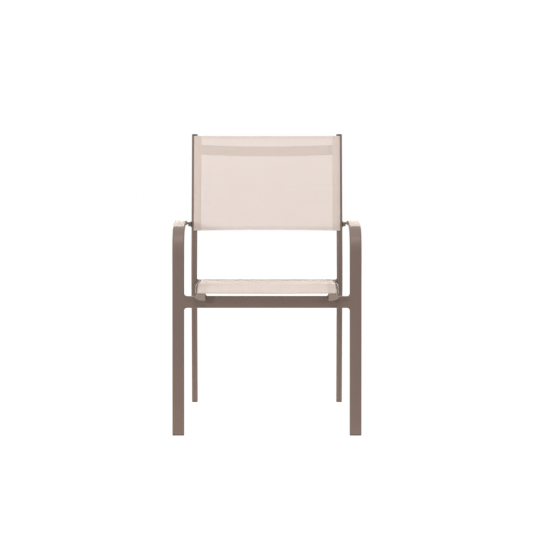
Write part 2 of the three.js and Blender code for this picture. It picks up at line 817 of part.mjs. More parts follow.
// The stack on each joint bolt, measured out from the outer face of the upright
const jointSeatFrom = uprightHalfSpan + clearance;
const jointSpacerFrom = jointSeatFrom + jointSeatThickness + clearance;
const jointSpacerTo = jointSpacerFrom + jointSpacerThickness;
const jointBushFrom = jointSpacerTo + clearance;
const armInnerFace = armSideways(armJointDistance) - armTubeWidth / 2;
const jointBushTo = armInnerFace - clearance;
const lockNutFrom = armInnerFace + tubeWall + findLockNutLift() + clearance;
const boltHeadFace = uprightHalfSpan - uprightWidth - clearance;
const boreRadius = boltDiameter / 2 + clearance;

function boltGeometry() {
  const shank = boltDiameter / 2;
  const head = boltHeadDiameter / 2;
  const tail = lockNutFrom + lockNutHeight + boltTailLength;
  const dome = arcPoints(0, 0, 1, -Math.PI / 2, 0, cornerSteps);
  const body = turned([
    ...dome.map(({ x, y }) => [head * x, boltHeadFace + boltHeadHeight * y]),
    [shank, boltHeadFace],
    [shank, tail],
    [0, tail],
  ]);
  const socketEnd = boltHeadFace - boltHeadHeight + boltSocketDepth;
  const across = boltSocketWidth / Math.cos(Math.PI / 6);
  return cut(body, pinAcross(across, boltHeadFace - boltHeadHeight - cutOverrun, socketEnd, 0, 0, 6));
}

/** A short cone that hangs lower than the bolt, its wide foot on the upright the lowest. */
function jointSeatGeometry() {
  const to = jointSeatFrom + jointSeatThickness;
  const cone = turned([
    [0, jointSeatFrom],
    [jointSeatDiameter / 2, jointSeatFrom],
    [jointSeatTopDiameter / 2, to],
    [0, to],
  ]);
  const lean = (jointSeatDrop - jointSeatTopDrop) / jointSeatThickness;
  const shift = -jointSeatTopDrop - lean * to;
  cone.applyMatrix4(new THREE.Matrix4().set(1, 0, 0, 0, 0, 1, 0, 0, lean, 0, 1, shift, 0, 0, 0, 1));
  const bore = pinAcross(2 * boreRadius, jointSeatFrom - cutOverrun, to + cutOverrun, 0, 0);
  return cut(cone, bore);
}

/** A plain disc between the cone and the bush, which hangs as low as they do. */
function jointSpacerGeometry() {
  const disc = pinAcross(jointSpacerDiameter, jointSpacerFrom, jointSpacerTo, 0, -jointSpacerDrop);
  const bore = pinAcross(2 * boreRadius, jointSpacerFrom - cutOverrun, jointSpacerTo + cutOverrun, 0, 0);
  return cut(disc, bore);
}

function lockNutGeometry() {
  const corners = lockNutWidth / Math.cos(Math.PI / 6);
  const to = lockNutFrom + lockNutHeight;
  const bore = pinAcross(2 * boreRadius, lockNutFrom - cutOverrun, to + cutOverrun, 0, 0);
  return cut(pinAcross(corners, lockNutFrom, to, 0, 0, 6), bore);
}

/** A moulded spacer: a collar that hangs lower than the bolt, and a neck against the armrest. */
function jointBushGeometry() {
  const neckFrom = jointBushTo - jointBushNeckLength;
  const collar = pinAcross(jointBushDiameter, jointBushFrom, neckFrom, 0, -jointBushDrop);
  const neck = pinAcross(jointBushNeckDiameter, jointBushFrom, jointBushTo, 0, 0);
  const bore = pinAcross(2 * boreRadius, jointBushFrom - cutOverrun, jointBushTo + cutOverrun, 0, 0);
  return cut(joined(collar, neck), bore);
}

function namedMesh(name, geometry, finish) {
  const mesh = new THREE.Mesh(welded(geometry), new THREE.MeshStandardMaterial(finish));
  mesh.name = name;
  return mesh;
}

/** A right and a left mesh of one sided piece. */
function pairOf(name, geometry, finish) {
  return {
    right: namedMesh(`right_${name}`, geometry, finish),
    left: namedMesh(`left_${name}`, mirrored(geometry), finish),
  };
}

/** Places a pair alike on both sides, turned about X only. */
function placePair({ right, left }, x, y, z, tilt = 0) {
  right.position.set(x, y, z);
  left.position.set(-x, y, z);
  right.rotation.x = tilt;
  left.rotation.x = tilt;
  return [right, left];
}

function placeAtEnd(pair, line, distance, x, outward) {
  const { y, z, heading } = line.at(distance);
  return placePair(pair, x, y, z, heading - (outward * Math.PI) / 2);
}

function frontFrame() {
  const frame = new THREE.Group();
  const tubes = pairOf('arm_tube', armTubeGeometry(), frameFinish);
  const crossbar = namedMesh('front_crossbar', crossbarGeometry(), frameFinish);
  crossbar.position.set(0, crossbarMiddleDepth, crossbarMiddleHeight);
  const glides = pairOf('front_glide', frontGlideGeometry(), glideFinish);
  const caps = pairOf('arm_end_cap', armCapGeometry(), capFinish);
  frame.add(tubes.right, tubes.left, crossbar);
  frame.add(...placePair(glides, armSideways(0), crossbarMiddleDepth, 0));
  frame.add(...placeAtEnd(caps, armLine, armLine.length, armSideways(armLine.length), 1));
  return frame;
}

function backFrame() {
  const frame = new THREE.Group();
  const uprights = pairOf('rear_upright', uprightGeometry(), frameFinish);
  const strips = pairOf('groove_strip', grooveStripGeometry(), frameFinish);
  const glides = pairOf('rear_glide', rearGlideGeometry(), glideFinish);
  const caps = pairOf('upright_top_cap', uprightCapGeometry(), glideFinish);
  const seatTube = namedMesh('rear_seat_tube', seatTubeGeometry(), frameFinish);
  const seatTubeDepth = seatTubeFront + seatTubeWidth / 2;
  seatTube.position.set(0, seatTubeDepth, seatCorner.z + seatTubeRise - seatTubeHeight / 2);
  const backTube = namedMesh('back_top_tube', backTubeGeometry(), frameFinish);
  const tubeAt = uprightLine.at(uprightLine.length + capThickness - backTubeDrop);
  const recline = Math.PI / 2 - tubeAt.heading;
  const halfDepth = uprightDepth / 2;
  const tubeDepth = tubeAt.y + halfDepth * Math.cos(recline);
  backTube.position.set(0, tubeDepth, tubeAt.z - halfDepth * Math.sin(recline));
  backTube.rotation.x = -recline;
  for (const { right, left } of [uprights, strips, glides]) frame.add(right, left);
  frame.add(seatTube, backTube);
  frame.add(...placeAtEnd(caps, uprightLine, uprightLine.length, uprightMiddle, 1));
  return frame;
}

function seat() {
  const group = new THREE.Group();
  const rails = pairOf('seat_rail', railGeometry(), frameFinish);
  const rod = splineGeometry(railLine, seatSlingFrom, seatSlingTo, seatPocket, railGrooveDepth);
  const rods = pairOf('seat_sling_rod', rod, splineFinish);
  const caps = pairOf('seat_rail_cap', railCapGeometry(), capFinish);
  group.add(rails.right, rails.left, rods.right, rods.left);
  group.add(...placeAtEnd(caps, railLine, 0, railMiddle, -1));
  group.add(namedMesh('seat_sling', seatSlingGeometry(), slingFinish));
  return group;
}

function back() {
  const group = new THREE.Group();
  const rod = splineGeometry(uprightLine, backSlingFrom, backSlingTo, backPocket, uprightGrooveDepth);
  const rods = pairOf('back_sling_rod', rod, splineFinish);
  group.add(rods.right, rods.left);
  group.add(namedMesh('back_sling', backSlingGeometry(), slingFinish));
  return group;
}

/** The fasteners of both arm joints, on the bolts' common axis. */
function armJoints() {
  const group = new THREE.Group();
  const pairs = [
    pairOf('arm_bolt', boltGeometry(), steelFinish),
    pairOf('arm_joint_seat', jointSeatGeometry(), jointFinish),
    pairOf('arm_joint_spacer', jointSpacerGeometry(), capFinish),
    pairOf('arm_joint_bush', jointBushGeometry(), jointFinish),
    pairOf('arm_lock_nut', lockNutGeometry(), steelFinish),
  ];
  for (const { right, left } of pairs) group.add(right, left);
  group.position.set(0, armJoint.y, armJoint.z);
  return group;
}

const chair = new THREE.Group();
chair.add(frontFrame(), backFrame(), seat(), back(), armJoints());

// Moves the origin to the floor under the middle of the footprint
const footprint = new THREE.Box3().setFromObject(chair, true);
chair.position.y = -(footprint.min.y + footprint.max.y) / 2;

export default chair;
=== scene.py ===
"""Sling patio chair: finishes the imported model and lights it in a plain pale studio.

Lengths are metres in the row frame: X to the right as seen from the front, Y to the
rear, Z up from the floor. Depths named from the legs start at the front legs' front faces.
"""

import logging
import math
from dataclasses import dataclass, field
from enum import Enum
from typing import Callable, Iterable, Sequence

import bmesh
import bpy
from bpy.types import ID, Material, Mesh, Node, NodeSocket, NodeTree, Object
from mathutils import Matrix, Vector


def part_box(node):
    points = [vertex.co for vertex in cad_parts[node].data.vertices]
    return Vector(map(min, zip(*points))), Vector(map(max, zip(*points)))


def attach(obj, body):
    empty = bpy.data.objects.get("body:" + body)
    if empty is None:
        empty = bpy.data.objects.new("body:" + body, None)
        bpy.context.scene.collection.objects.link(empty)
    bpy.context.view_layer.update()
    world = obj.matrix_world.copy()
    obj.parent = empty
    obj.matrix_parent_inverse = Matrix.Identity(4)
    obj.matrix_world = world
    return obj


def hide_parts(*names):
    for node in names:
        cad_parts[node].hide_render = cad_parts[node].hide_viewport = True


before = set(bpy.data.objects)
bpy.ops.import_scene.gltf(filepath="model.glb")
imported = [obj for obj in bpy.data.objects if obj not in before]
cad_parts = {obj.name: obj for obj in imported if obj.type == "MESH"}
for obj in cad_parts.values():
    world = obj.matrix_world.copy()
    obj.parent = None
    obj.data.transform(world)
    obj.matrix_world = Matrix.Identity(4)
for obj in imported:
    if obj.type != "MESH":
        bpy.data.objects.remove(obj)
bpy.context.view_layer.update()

log = logging.getLogger("patio_chair")

BODY = "root"
WARM = (1.0, 0.88, 0.78)
WHITE = (1.0, 1.0, 1.0, 1.0)
POWDER = (0.187, 0.137, 0.116, 1.0)
DUST = (0.62, 0.56, 0.50, 1.0)
BEND_CREASE = 38.0  # degrees
ROLL_CREASE = 60.0  # degrees
HAIR = 1e-6  # metres, a margin for comparing places
Colour = tuple[float, float, float, float]
Point = tuple[float, float, float]
Places = list[tuple[float, float]]


class Side(Enum):
    """The two sides of the chair, as seen from the front."""

    LEFT = "left"
    RIGHT = "right"

    @property
    def sign(self) -> int:
        """The sign of X on this side."""
        return 1 if self is Side.RIGHT else -1


class Slot(Enum):
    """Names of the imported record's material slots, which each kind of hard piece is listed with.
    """

    FRAME = "frame_paint"
    FABRIC = "sling_fabric"
    CAP = "cap_plastic"
    GLIDE = "glide_plastic"
    JOINT = "joint_plastic"
    STEEL = "fastener_steel"


# Shader node groups


class NodeSheet:
    """Adds nodes to one node tree and links them."""

    def __init__(self, tree: NodeTree) -> None:
        """Takes the node tree to build in."""
        self.tree = tree

    def add(self, kind: str, **settings: object) -> Node:
        """Adds one node.

        Args:
            kind: Blender's name for the node.
            settings: attributes to set on it.

        Returns:
            The new node.
        """
        node = self.tree.nodes.new(kind)
        for name, value in settings.items():
            setattr(node, name, value)
        return node

    def feed(self, socket: NodeSocket, source: object) -> None:
        """Links a socket into another, or sets its own value.

        Args:
            socket: the input to fill.
            source: an output socket, a number, a colour or a vector.
        """
        if isinstance(source, NodeSocket):
            self.tree.links.new(source, socket)
        else:
            socket.default_value = source

    def maths(self, operation: str, *values: object, kind: str = "ShaderNodeMath") -> NodeSocket:
        """Adds a Math node, or a Vector Math node whose result is a number.

        Args:
            operation: Blender's name for the sum.
            values: its inputs, sockets or numbers.
            kind: Blender's name for the node.

        Returns:
            The result's socket.
        """
        node = self.add(kind, operation=operation)
        for socket, value in zip(node.inputs, values):
            self.feed(socket, value)
        return node.outputs["Value"]

    def blend(self, share: object, first: object, second: object) -> NodeSocket:
        """Mixes two colours.

        Args:
            share: how much of the second colour shows, from 0 to 1.
            first: the first colour or socket.
            second: the second colour or socket.

        Returns:
            The mixed colour's socket.
        """
        node = self.add("ShaderNodeMix", data_type="RGBA")
        # The Mix node has sockets for every kind of data: these are its share and colours.
        for number, source in ((0, share), (6, first), (7, second)):
            self.feed(node.inputs[number], source)
        return node.outputs[2]

    def fill(self, node: Node, **inputs: object) -> Node:
        """Fills a node's inputs.

        Args:
            node: the node.
            inputs: values or sockets, with underscores for the spaces in the inputs' names.

        Returns:
            The same node.
        """
        for name, value in inputs.items():
            self.feed(node.inputs[name.replace("_", " ")], value)
        return node

    def group(self, tree: NodeTree, **inputs: object) -> Node:
        """Places a node group and fills its inputs."""
        return self.fill(self.add("ShaderNodeGroup", node_tree=tree), **inputs)

    def bump(self, height: NodeSocket, depth: float) -> NodeSocket:
        """Adds fine relief, in which a height of 1 stands out by the depth, in metres."""
        node = self.fill(self.add("ShaderNodeBump"), Distance=depth, Height=height)
        return node.outputs["Normal"]

    def clouds(self, scale: object, detail: float = 2.0) -> NodeSocket:
        """Adds a soft noise that stays with the object.

        Args:
            scale: its scale, a number or a socket.
            detail: how many finer noises it holds.

        Returns:
            The noise's socket.
        """
        place = self.add("ShaderNodeTexCoord").outputs["Object"]
        noise = self.add("ShaderNodeTexNoise")
        return self.fill(noise, Vector=place, Scale=scale, Detail=detail).outputs["Fac"]

    def seen(self) -> NodeSocket:
        """Adds a mask of the rays that see the white studio, directly or in metal or glass.

        Returns:
            The mask's socket.
        """
        rays = self.add("ShaderNodeLightPath").outputs
        mask = self.maths("MAXIMUM", rays["Is Camera Ray"], rays["Is Glossy Ray"])
        return self.maths("MAXIMUM", mask, rays["Is Transmission Ray"])


def new_group(
    name: str, inputs: dict[str, float | None], outputs: Sequence[str]
) -> tuple[NodeSheet, Node, Node]:
    """Starts a shader node group, whose outputs are numbers.

    Args:
        name: the group's name.
        inputs: the default of each input, or None where it is a vector.
        outputs: the name of each output.

    Returns:
        The group's node sheet, its input node and its output node.
    """
    tree = bpy.data.node_groups.new(name, "ShaderNodeTree")
    for label, default in inputs.items():
        kind = "NodeSocketVector" if default is None else "NodeSocketFloat"
        socket = tree.interface.new_socket(label, in_out="INPUT", socket_type=kind)
        if default is not None:
            socket.default_value = default
    for label in outputs:
        tree.interface.new_socket(label, in_out="OUTPUT", socket_type="NodeSocketFloat")
    sheet = NodeSheet(tree)
    return sheet, sheet.add("NodeGroupInput"), sheet.add("NodeGroupOutput")


def make_weave_group() -> NodeTree:
    """Builds the open plain weave of coated yarns.

    Returns:
        A group that turns a place on the cloth, in metres, into yarn height, a mask of
        the open holes and each yarn's own tone.
    """
    sheet, given, result = new_group(
        "Sling Weave",
        {"Place": None, "Pitch": 0.0014, "Yarn Share": 0.65},
        ("Height", "Hole", "Tone"),
    )
    swing = 0.35
    seed = 40.5
    split = sheet.fill(sheet.add("ShaderNodeSeparateXYZ"), Vector=given.outputs["Place"])
    pitch = given.outputs["Pitch"]
    half = sheet.maths("MULTIPLY", given.outputs["Yarn Share"], 0.5)
    counts = [sheet.maths("DIVIDE", split.outputs[axis], pitch) for axis in (0, 1)]
    heights, gaps, tones = [], [], []
    for own, other in ((0, 1), (1, 0)):
        number = sheet.maths("FLOOR", counts[own])
        offset = sheet.maths("SUBTRACT", sheet.maths("FRACT", counts[own]), 0.5)
        offset = sheet.maths("ABSOLUTE", offset)
        across = sheet.maths("DIVIDE", offset, half)
        fall = sheet.maths("SUBTRACT", 1.0, sheet.maths("MULTIPLY", across, across))
        round_top = sheet.maths("SQRT", sheet.maths("MAXIMUM", fall, 0.0))
        phase = sheet.maths("SUBTRACT", counts[other], 0.5)
        phase = sheet.maths("ADD", phase, sheet.maths("ADD", number, float(own)))
        wave = sheet.maths("COSINE", sheet.maths("MULTIPLY", phase, math.pi))
        wave = sheet.maths("MULTIPLY_ADD", wave, swing, 1 - swing)
        heights.append(sheet.maths("MULTIPLY", round_top, wave))
        gaps.append(sheet.maths("GREATER_THAN", offset, half))
        noise = sheet.add("ShaderNodeTexWhiteNoise", noise_dimensions="1D")
        sheet.fill(noise, W=sheet.maths("ADD", number, seed * (own + 1)))
        tones.append(noise.outputs["Value"])
    over = sheet.maths("GREATER_THAN", heights[1], heights[0])
    upper = sheet.maths("MULTIPLY", tones[1], over)
    lower = sheet.maths("MULTIPLY", tones[0], sheet.maths("SUBTRACT", 1.0, over))
    sheet.fill(
        result,
        Height=sheet.maths("MAXIMUM", *heights),
        Hole=sheet.maths("MULTIPLY", *gaps),
        Tone=sheet.maths("ADD", upper, lower),
    )
    return sheet.tree


def make_grain_group() -> NodeTree:
    """Builds the fine unevenness of sprayed powder and moulded plastic.

    Returns:
        A group with a height for a Bump node and a slow mottle from 0 to 1.
    """
    sheet, given, result = new_group(
        "Surface Grain", {"Grain Scale": 900.0, "Mottle Scale": 14.0}, ("Height", "Mottle")
    )
    for label, scale, detail in (("Height", "Grain Scale", 3.0), ("Mottle", "Mottle Scale", 2.0)):
        sheet.feed(result.inputs[label], sheet.clouds(given.outputs[scale], detail))
    return sheet.tree


def make_edge_group() -> NodeTree:
    """Builds the worn line along a piece's edges.

    Returns:
        A group with a mask that is 1 on an edge and breaks up along it.
    """
    sheet, given, result = new_group("Edge Wear", {"Reach": 0.001, "Break Up": 60.0}, ("Edge",))
    steepness = 6.0
    rounded = sheet.fill(sheet.add("ShaderNodeBevel", samples=6), Radius=given.outputs["Reach"])
    normals = [node.outputs["Normal"] for node in (rounded, sheet.add("ShaderNodeNewGeometry"))]
    facing = sheet.maths("DOT_PRODUCT", *normals, kind="ShaderNodeVectorMath")
    turned = sheet.maths("MULTIPLY", sheet.maths("SUBTRACT", 1.0, facing), steepness)
    breaks = sheet.clouds(given.outputs["Break Up"])
    edge = sheet.maths("MULTIPLY", sheet.maths("MINIMUM", turned, 1.0), breaks)
    sheet.fill(result, Edge=edge)
    return sheet.tree


def make_dust_group() -> NodeTree:
    """Builds the faint dust that settles where a surface faces up.

    Returns:
        A group with a mask of the dust.
    """
    defaults = {"Amount": 0.1, "Patch Scale": 25.0}
    sheet, given, result = new_group("Settled Dust", defaults, ("Dust",))
    levelness = 3.0
    normal = sheet.add("ShaderNodeNewGeometry").outputs["Normal"]
    split = sheet.fill(sheet.add("ShaderNodeSeparateXYZ"), Vector=normal)
    upward = sheet.maths("POWER", sheet.maths("MAXIMUM", split.outputs["Z"], 0.0), levelness)
    patches = sheet.clouds(given.outputs["Patch Scale"])
    patches = sheet.maths("MULTIPLY", patches, given.outputs["Amount"])
    sheet.fill(result, Dust=sheet.maths("MULTIPLY", upward, patches))
    return sheet.tree


@dataclass(frozen=True)
class Effects:
    """The node groups that the finishes share."""

    weave: NodeTree = field(default_factory=make_weave_group)
    grain: NodeTree = field(default_factory=make_grain_group)
    edge: NodeTree = field(default_factory=make_edge_group)
    dust: NodeTree = field(default_factory=make_dust_group)


# Finishes


def shade(colour: Colour, factor: float) -> Colour:
    """Multiplies a colour's channels by a factor."""
    return (*(min(channel * factor, 1.0) for channel in colour[:3]), 1.0)


def shades(colour: Colour, contrast: float) -> tuple[Colour, Colour]:
    """A colour a little darker and a little lighter."""
    return shade(colour, 1 - contrast), shade(colour, 1 + contrast)


def blank_material(name: str) -> tuple[Material, NodeSheet, Node]:
    """Starts a material.

    Args:
        name: the material's name.

    Returns:
        The material, its node sheet and its surface shader, already linked.
    """
    material = bpy.data.materials.new(name)
    material.use_nodes = True
    material.node_tree.nodes.clear()
    sheet = NodeSheet(material.node_tree)
    surface = sheet.add("ShaderNodeBsdfPrincipled")
    sheet.fill(sheet.add("ShaderNodeOutputMaterial"), Surface=surface.outputs[0])
    return material, sheet, surface


@dataclass(frozen=True)
class HardFinish:
    """Sprayed paint, moulded plastic or plated steel, with grain, worn edges and dust."""

    name: str
    colour: Colour
    roughness: float
    metallic: float = 0.0
    grain_depth: float = 0.000008
    grain_scale: float = 900.0
    mottle: float = 0.06
    edge_lift: float = 1.25
    edge_reach: float = 0.0012
    dust: float = 0.08
    specular: float = 0.35
    roughness_spread: float = 0.12

    def make(self, effects: Effects) -> Material:
        """Builds the material.

        Args:
            effects: the shared node groups.

        Returns:
            The material.
        """
        material, sheet, surface = blank_material(self.name)
        grain = sheet.group(effects.grain, Grain_Scale=self.grain_scale).outputs
        edge = sheet.group(effects.edge, Reach=self.edge_reach).outputs["Edge"]
        dust = sheet.group(effects.dust, Amount=self.dust).outputs["Dust"]
        mottled = sheet.blend(grain["Mottle"], *shades(self.colour, self.mottle))
        worn = sheet.blend(edge, mottled, shade(self.colour, self.edge_lift))
        smoothest = self.roughness - self.roughness_spread / 2
        rough = sheet.maths("MULTIPLY_ADD", grain["Mottle"], self.roughness_spread, smoothest)
        sheet.fill(
            surface,
            Base_Color=sheet.blend(dust, worn, DUST),
            Roughness=rough,
            Metallic=self.metallic,
            Specular_IOR_Level=self.specular,
            Specular_Tint=(*WARM, 1.0),
            Normal=sheet.bump(grain["Height"], self.grain_depth),
        )
        return material


@dataclass(frozen=True)
class SlingFabric:
    """Open-weave coated mesh, lit through its holes, which the yarns hide at a slant."""

    name: str = "Sling Fabric"
    colour: Colour = (0.85, 0.727, 0.657, 1.0)
    pitch: float = 0.0014
    yarn_share: float = 0.61
    yarn_contrast: float = 0.03
    hollow_shade_share: float = 0.25
    hollow_painted_shade: float = 0.72
    mottle_scale: float = 7.0
    mottle_share: float = 0.08
    mottle_shade: float = 0.8
    relief: float = 0.00035
    roughness: float = 0.62
    roughness_spread: float = 0.1
    sheen: float = 0.3
    sheen_roughness: float = 0.5
    closing_facing: float = 0.8
    closing_range: float = 0.35
    uv_map: str = "cloth"

    def make(self, effects: Effects) -> Material:
        """Builds the material.

        Args:
            effects: the shared node groups.

        Returns:
            The material.
        """
        material, sheet, surface = blank_material(self.name)
        place = sheet.add("ShaderNodeUVMap", uv_map=self.uv_map).outputs["UV"]
        weave = sheet.group(
            effects.weave, Place=place, Pitch=self.pitch, Yarn_Share=self.yarn_share
        ).outputs
        grain = sheet.group(effects.grain, Mottle_Scale=self.mottle_scale).outputs
        yarns = sheet.blend(weave["Tone"], *shades(self.colour, self.yarn_contrast))
        # Painted shade: the hollows between the yarns are blended towards a darker copy of the
        # cloth's colour.
        hollow = sheet.maths("SUBTRACT", 1.0, weave["Height"])
        hollow = sheet.maths("MULTIPLY", hollow, self.hollow_shade_share)
        yarns_with_hollow_shade = sheet.blend(hollow, yarns, shade(self.colour, self.hollow_painted_shade))
        mottle = sheet.maths("MULTIPLY", grain["Mottle"], self.mottle_share)
        facing = sheet.add("ShaderNodeLayerWeight").outputs["Facing"]
        open_share = sheet.maths("SUBTRACT", self.closing_facing, facing)
        open_share = sheet.maths("DIVIDE", open_share, self.closing_range)
        open_share = sheet.maths("MINIMUM", sheet.maths("MAXIMUM", open_share, 0.0), 1.0)
        hole = sheet.maths("MULTIPLY", weave["Hole"], open_share)
        sheet.fill(
            surface,
            Base_Color=sheet.blend(mottle, yarns_with_hollow_shade, shade(self.colour, self.mottle_shade)),
            Roughness=sheet.maths(
                "MULTIPLY_ADD", weave["Tone"], self.roughness_spread, self.roughness
            ),
            Sheen_Weight=self.sheen,
            Sheen_Roughness=self.sheen_roughness,
            Sheen_Tint=(*WARM, 1.0),
            Alpha=sheet.maths("SUBTRACT", 1.0, hole),
            Normal=sheet.bump(weave["Height"], self.relief),
        )
        return material


@dataclass(frozen=True)
class StudioFloor:
    """Pale floor that reads as plain white and keeps a faint shadow."""

    name: str = "Studio Floor"
    glow: float = 0.975
    spill: float = 0.55
    pool: float = 1.0
    pool_reach: float = 0.8
    bounce: Colour = (1.0, 0.95, 0.91, 1.0)
    colour: Colour = (0.10, 0.095, 0.09, 1.0)

    def make(self) -> Material:
        """Builds the material, whose own light stands in for a brightly lit white floor.

        Returns:
            The material.
        """
        material, sheet, surface = blank_material(self.name)
        seen = sheet.seen()
        place = sheet.add("ShaderNodeTexCoord").outputs["Object"]
        away = sheet.maths("LENGTH", place, kind="ShaderNodeVectorMath")
        away = sheet.maths("DIVIDE", away, self.pool_reach)
        away = sheet.maths("MULTIPLY", sheet.maths("MULTIPLY", away, away), -1.0)
        unseen = sheet.maths("EXPONENT", away)
        unseen = sheet.maths("MULTIPLY_ADD", unseen, self.pool, self.spill)
        unseen = sheet.maths("MULTIPLY", sheet.maths("SUBTRACT", 1.0, seen), unseen)
        sheet.fill(
            surface,
            Base_Color=self.colour,
            Roughness=1.0,
            Specular_IOR_Level=0.0,
            Emission_Color=sheet.blend(seen, self.bounce, WHITE),
            Emission_Strength=sheet.maths("MULTIPLY_ADD", seen, self.glow, unseen),
        )
        return material


@dataclass
class Finishes:
    """Every material of the chair."""

    effects: Effects = field(default_factory=Effects)

    def hard(self, name: str, colour: Colour, roughness: float, **details: float) -> Material:
        """Builds one hard finish, with the details that differ from the usual ones."""
        return HardFinish(name, colour, roughness, **details).make(self.effects)

    def __post_init__(self) -> None:
        """Builds the materials."""
        moulded = {"grain_depth": 0.00004, "grain_scale": 1600.0}
        self.powder = self.hard("Powder Coat", POWDER, 0.46, grain_depth=0.000001)
        # Painted shade: the welds' coat is the powder colour darkened, for the shadow that falls
        # on the rail welds under the seat's front edge; the tube-end welds share it.
        self.weld = self.hard(
            "Weld Coat Painted Shade", shade(POWDER, 0.7), 0.5, grain_depth=0.0001, grain_scale=400.0
        )
        self.cap = self.hard("Moulded Cap", (0.30, 0.24, 0.21, 1.0), 0.55, **moulded)
        self.glide = self.hard("Moulded Glide", (0.10, 0.078, 0.068, 1.0), 0.6, **moulded)
        self.joint = self.hard(
            "Moulded Joint", (0.085, 0.060, 0.048, 1.0), 0.5, grain_depth=0.00003
        )
        self.bush = self.hard("Moulded Bush", (0.21, 0.162, 0.143, 1.0), 0.5, grain_depth=0.00003)
        self.steel = self.hard(
            "Plated Steel", (0.52, 0.50, 0.49, 1.0), 0.3, metallic=0.9, grain_depth=0.00001
        )
        self.rod = self.hard("Sling Rod", (0.62, 0.57, 0.51, 1.0), 0.5)
        self.thread = self.hard(
            "Sewing Thread", (0.62, 0.53, 0.47, 1.0), 0.8, grain_depth=0.00003, grain_scale=3000.0
        )
        self.fabric = SlingFabric().make(self.effects)
        # Painted shade: the hem finish is the cloth's colour darkened, for the light that the
        # doubled cloth holds back; the ply behind it is real.
        self.hem = SlingFabric("Sling Hem Painted Shade", colour=(0.795, 0.68, 0.617, 1.0)).make(self.effects)


# Mesh making


def placed(name: str, data: ID) -> Object:
    """Puts a mesh, a lamp or a camera in the scene.

    Args:
        name: the new object's name.
        data: what it shows.

    Returns:
        The object.
    """
    thing = bpy.data.objects.new(name, data)
    bpy.context.scene.collection.objects.link(thing)
    return thing


def new_piece(mesh: Mesh, materials: Sequence[Material]) -> Object:
    """Puts a finished mesh in the scene as a piece of the chair, under the mesh's name.

    Args:
        mesh: the piece's mesh, in the row frame.
        materials: its materials, in slot order.

    Returns:
        The piece.
    """
    piece = placed(mesh.name, mesh)
    mesh.materials.clear()
    for material in materials:
        mesh.materials.append(material)
    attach(piece, BODY)
    log.info("built %s with %d faces", piece.name, len(mesh.polygons))
    return piece


def smooth(mesh: Mesh, crease: float) -> None:
    """Shades a mesh smoothly, except over edges sharper than the crease, in degrees."""
    mesh.shade_smooth()
    mesh.set_sharp_from_angle(angle=math.radians(crease))


@dataclass
class HardPieces:
    """Hard pieces of one kind, each made from its own solid, with rounded edges."""

    stem: str
    slot: Slot = Slot.FRAME
    edge: float = 0.0004
    sided: bool = True
    same_point: float = 0.000002
    flat_angle: float = math.radians(0.4)
    edge_angle: float = math.radians(50.0)

    def build(self, finish: Material) -> None:
        """Builds the pieces, all in one finish."""
        for prefix in [f"{side.value}_" for side in Side] if self.sided else [""]:
            self.soften(prefix + self.stem, finish)

    def soften(self, node: str, finish: Material) -> None:
        """Makes the shown piece for a node, with its edges rounded and its bends smooth.

        Args:
            node: the CAD node that it stands for.
            finish: its material.
        """
        shape = bmesh.new()
        shape.from_mesh(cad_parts[node].data)
        bmesh.ops.remove_doubles(shape, verts=shape.verts, dist=self.same_point)
        bmesh.ops.dissolve_limit(
            shape, angle_limit=self.flat_angle, verts=shape.verts, edges=shape.edges
        )
        mesh = bpy.data.meshes.new(f"{node}_finished")
        shape.to_mesh(mesh)
        shape.free()
        piece = new_piece(mesh, [finish])
        smooth(mesh, BEND_CREASE)
        rounding = piece.modifiers.new("rounding", "BEVEL")
        rounding.width = self.edge
        rounding.segments = 2
        rounding.limit_method = "ANGLE"
        rounding.angle_limit = self.edge_angle
        flats = piece.modifiers.new("flats", "WEIGHTED_NORMAL")
        flats.keep_sharp = True
        graph = bpy.context.evaluated_depsgraph_get()
        piece.data = bpy.data.meshes.new_from_object(piece.evaluated_get(graph))
        piece.modifiers.clear()
        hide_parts(node)


def strip_mesh(
    name: str, rows: Sequence[Sequence[Vector]], closed: bool = False, capped: bool = False
) -> Mesh:
    """Joins rows of points into a smooth skin.

    Args:
        name: the mesh's name.
        rows: rows with the same number of points each.
        closed: whether each row is a ring.
        capped: whether the first and last rows are filled.

    Returns:
        The mesh.
    """
    count = len(rows[0])
    points = [point for row in rows for point in row]
    faces = []
    for row in range(len(rows) - 1):
        for spot in range(count if closed else count - 1):
            first = row * count + spot
            second = row * count + (spot + 1) % count
            faces.append((first, second, second + count, first + count))
    if capped:
        faces.append(tuple(reversed(range(count))))
        faces.append(tuple(range(len(points) - count, len(points))))
    mesh = bpy.data.meshes.new(name)
    mesh.from_pydata(points, [], faces)
    mesh.validate()
    return mesh


def rolled(
    name: str, path: Sequence[Vector], radius: Callable[[int], float], sides: int, closed: bool
) -> Mesh:
    """Makes a round roll along a path.

    Args:
        name: the mesh's name.
        path: points along its middle.
        radius: the roll's radius at each point.
        sides: points round it.
        closed: whether the path is a loop.

    Returns:
        The mesh.
    """
    rows = []
    count = len(path)
    for spot, point in enumerate(path):
        ahead = path[(spot + 1) % count] if closed else path[min(spot + 1, count - 1)]
        behind = path[spot - 1] if closed or spot else path[0]
        along = (ahead - behind).normalized()
        aside = along.orthogonal() if spot == 0 else (aside - aside.dot(along) * along)
        aside.normalize()
        over = along.cross(aside)
        size = radius(spot)
        turns = (2 * math.pi * step / sides for step in range(sides))
        rows.append([point + size * (math.cos(a) * aside + math.sin(a) * over) for a in turns])
    if closed:
        rows.append(rows[0])
    mesh = strip_mesh(name, rows, closed=True, capped=not closed)
    smooth(mesh, ROLL_CREASE)
    return mesh


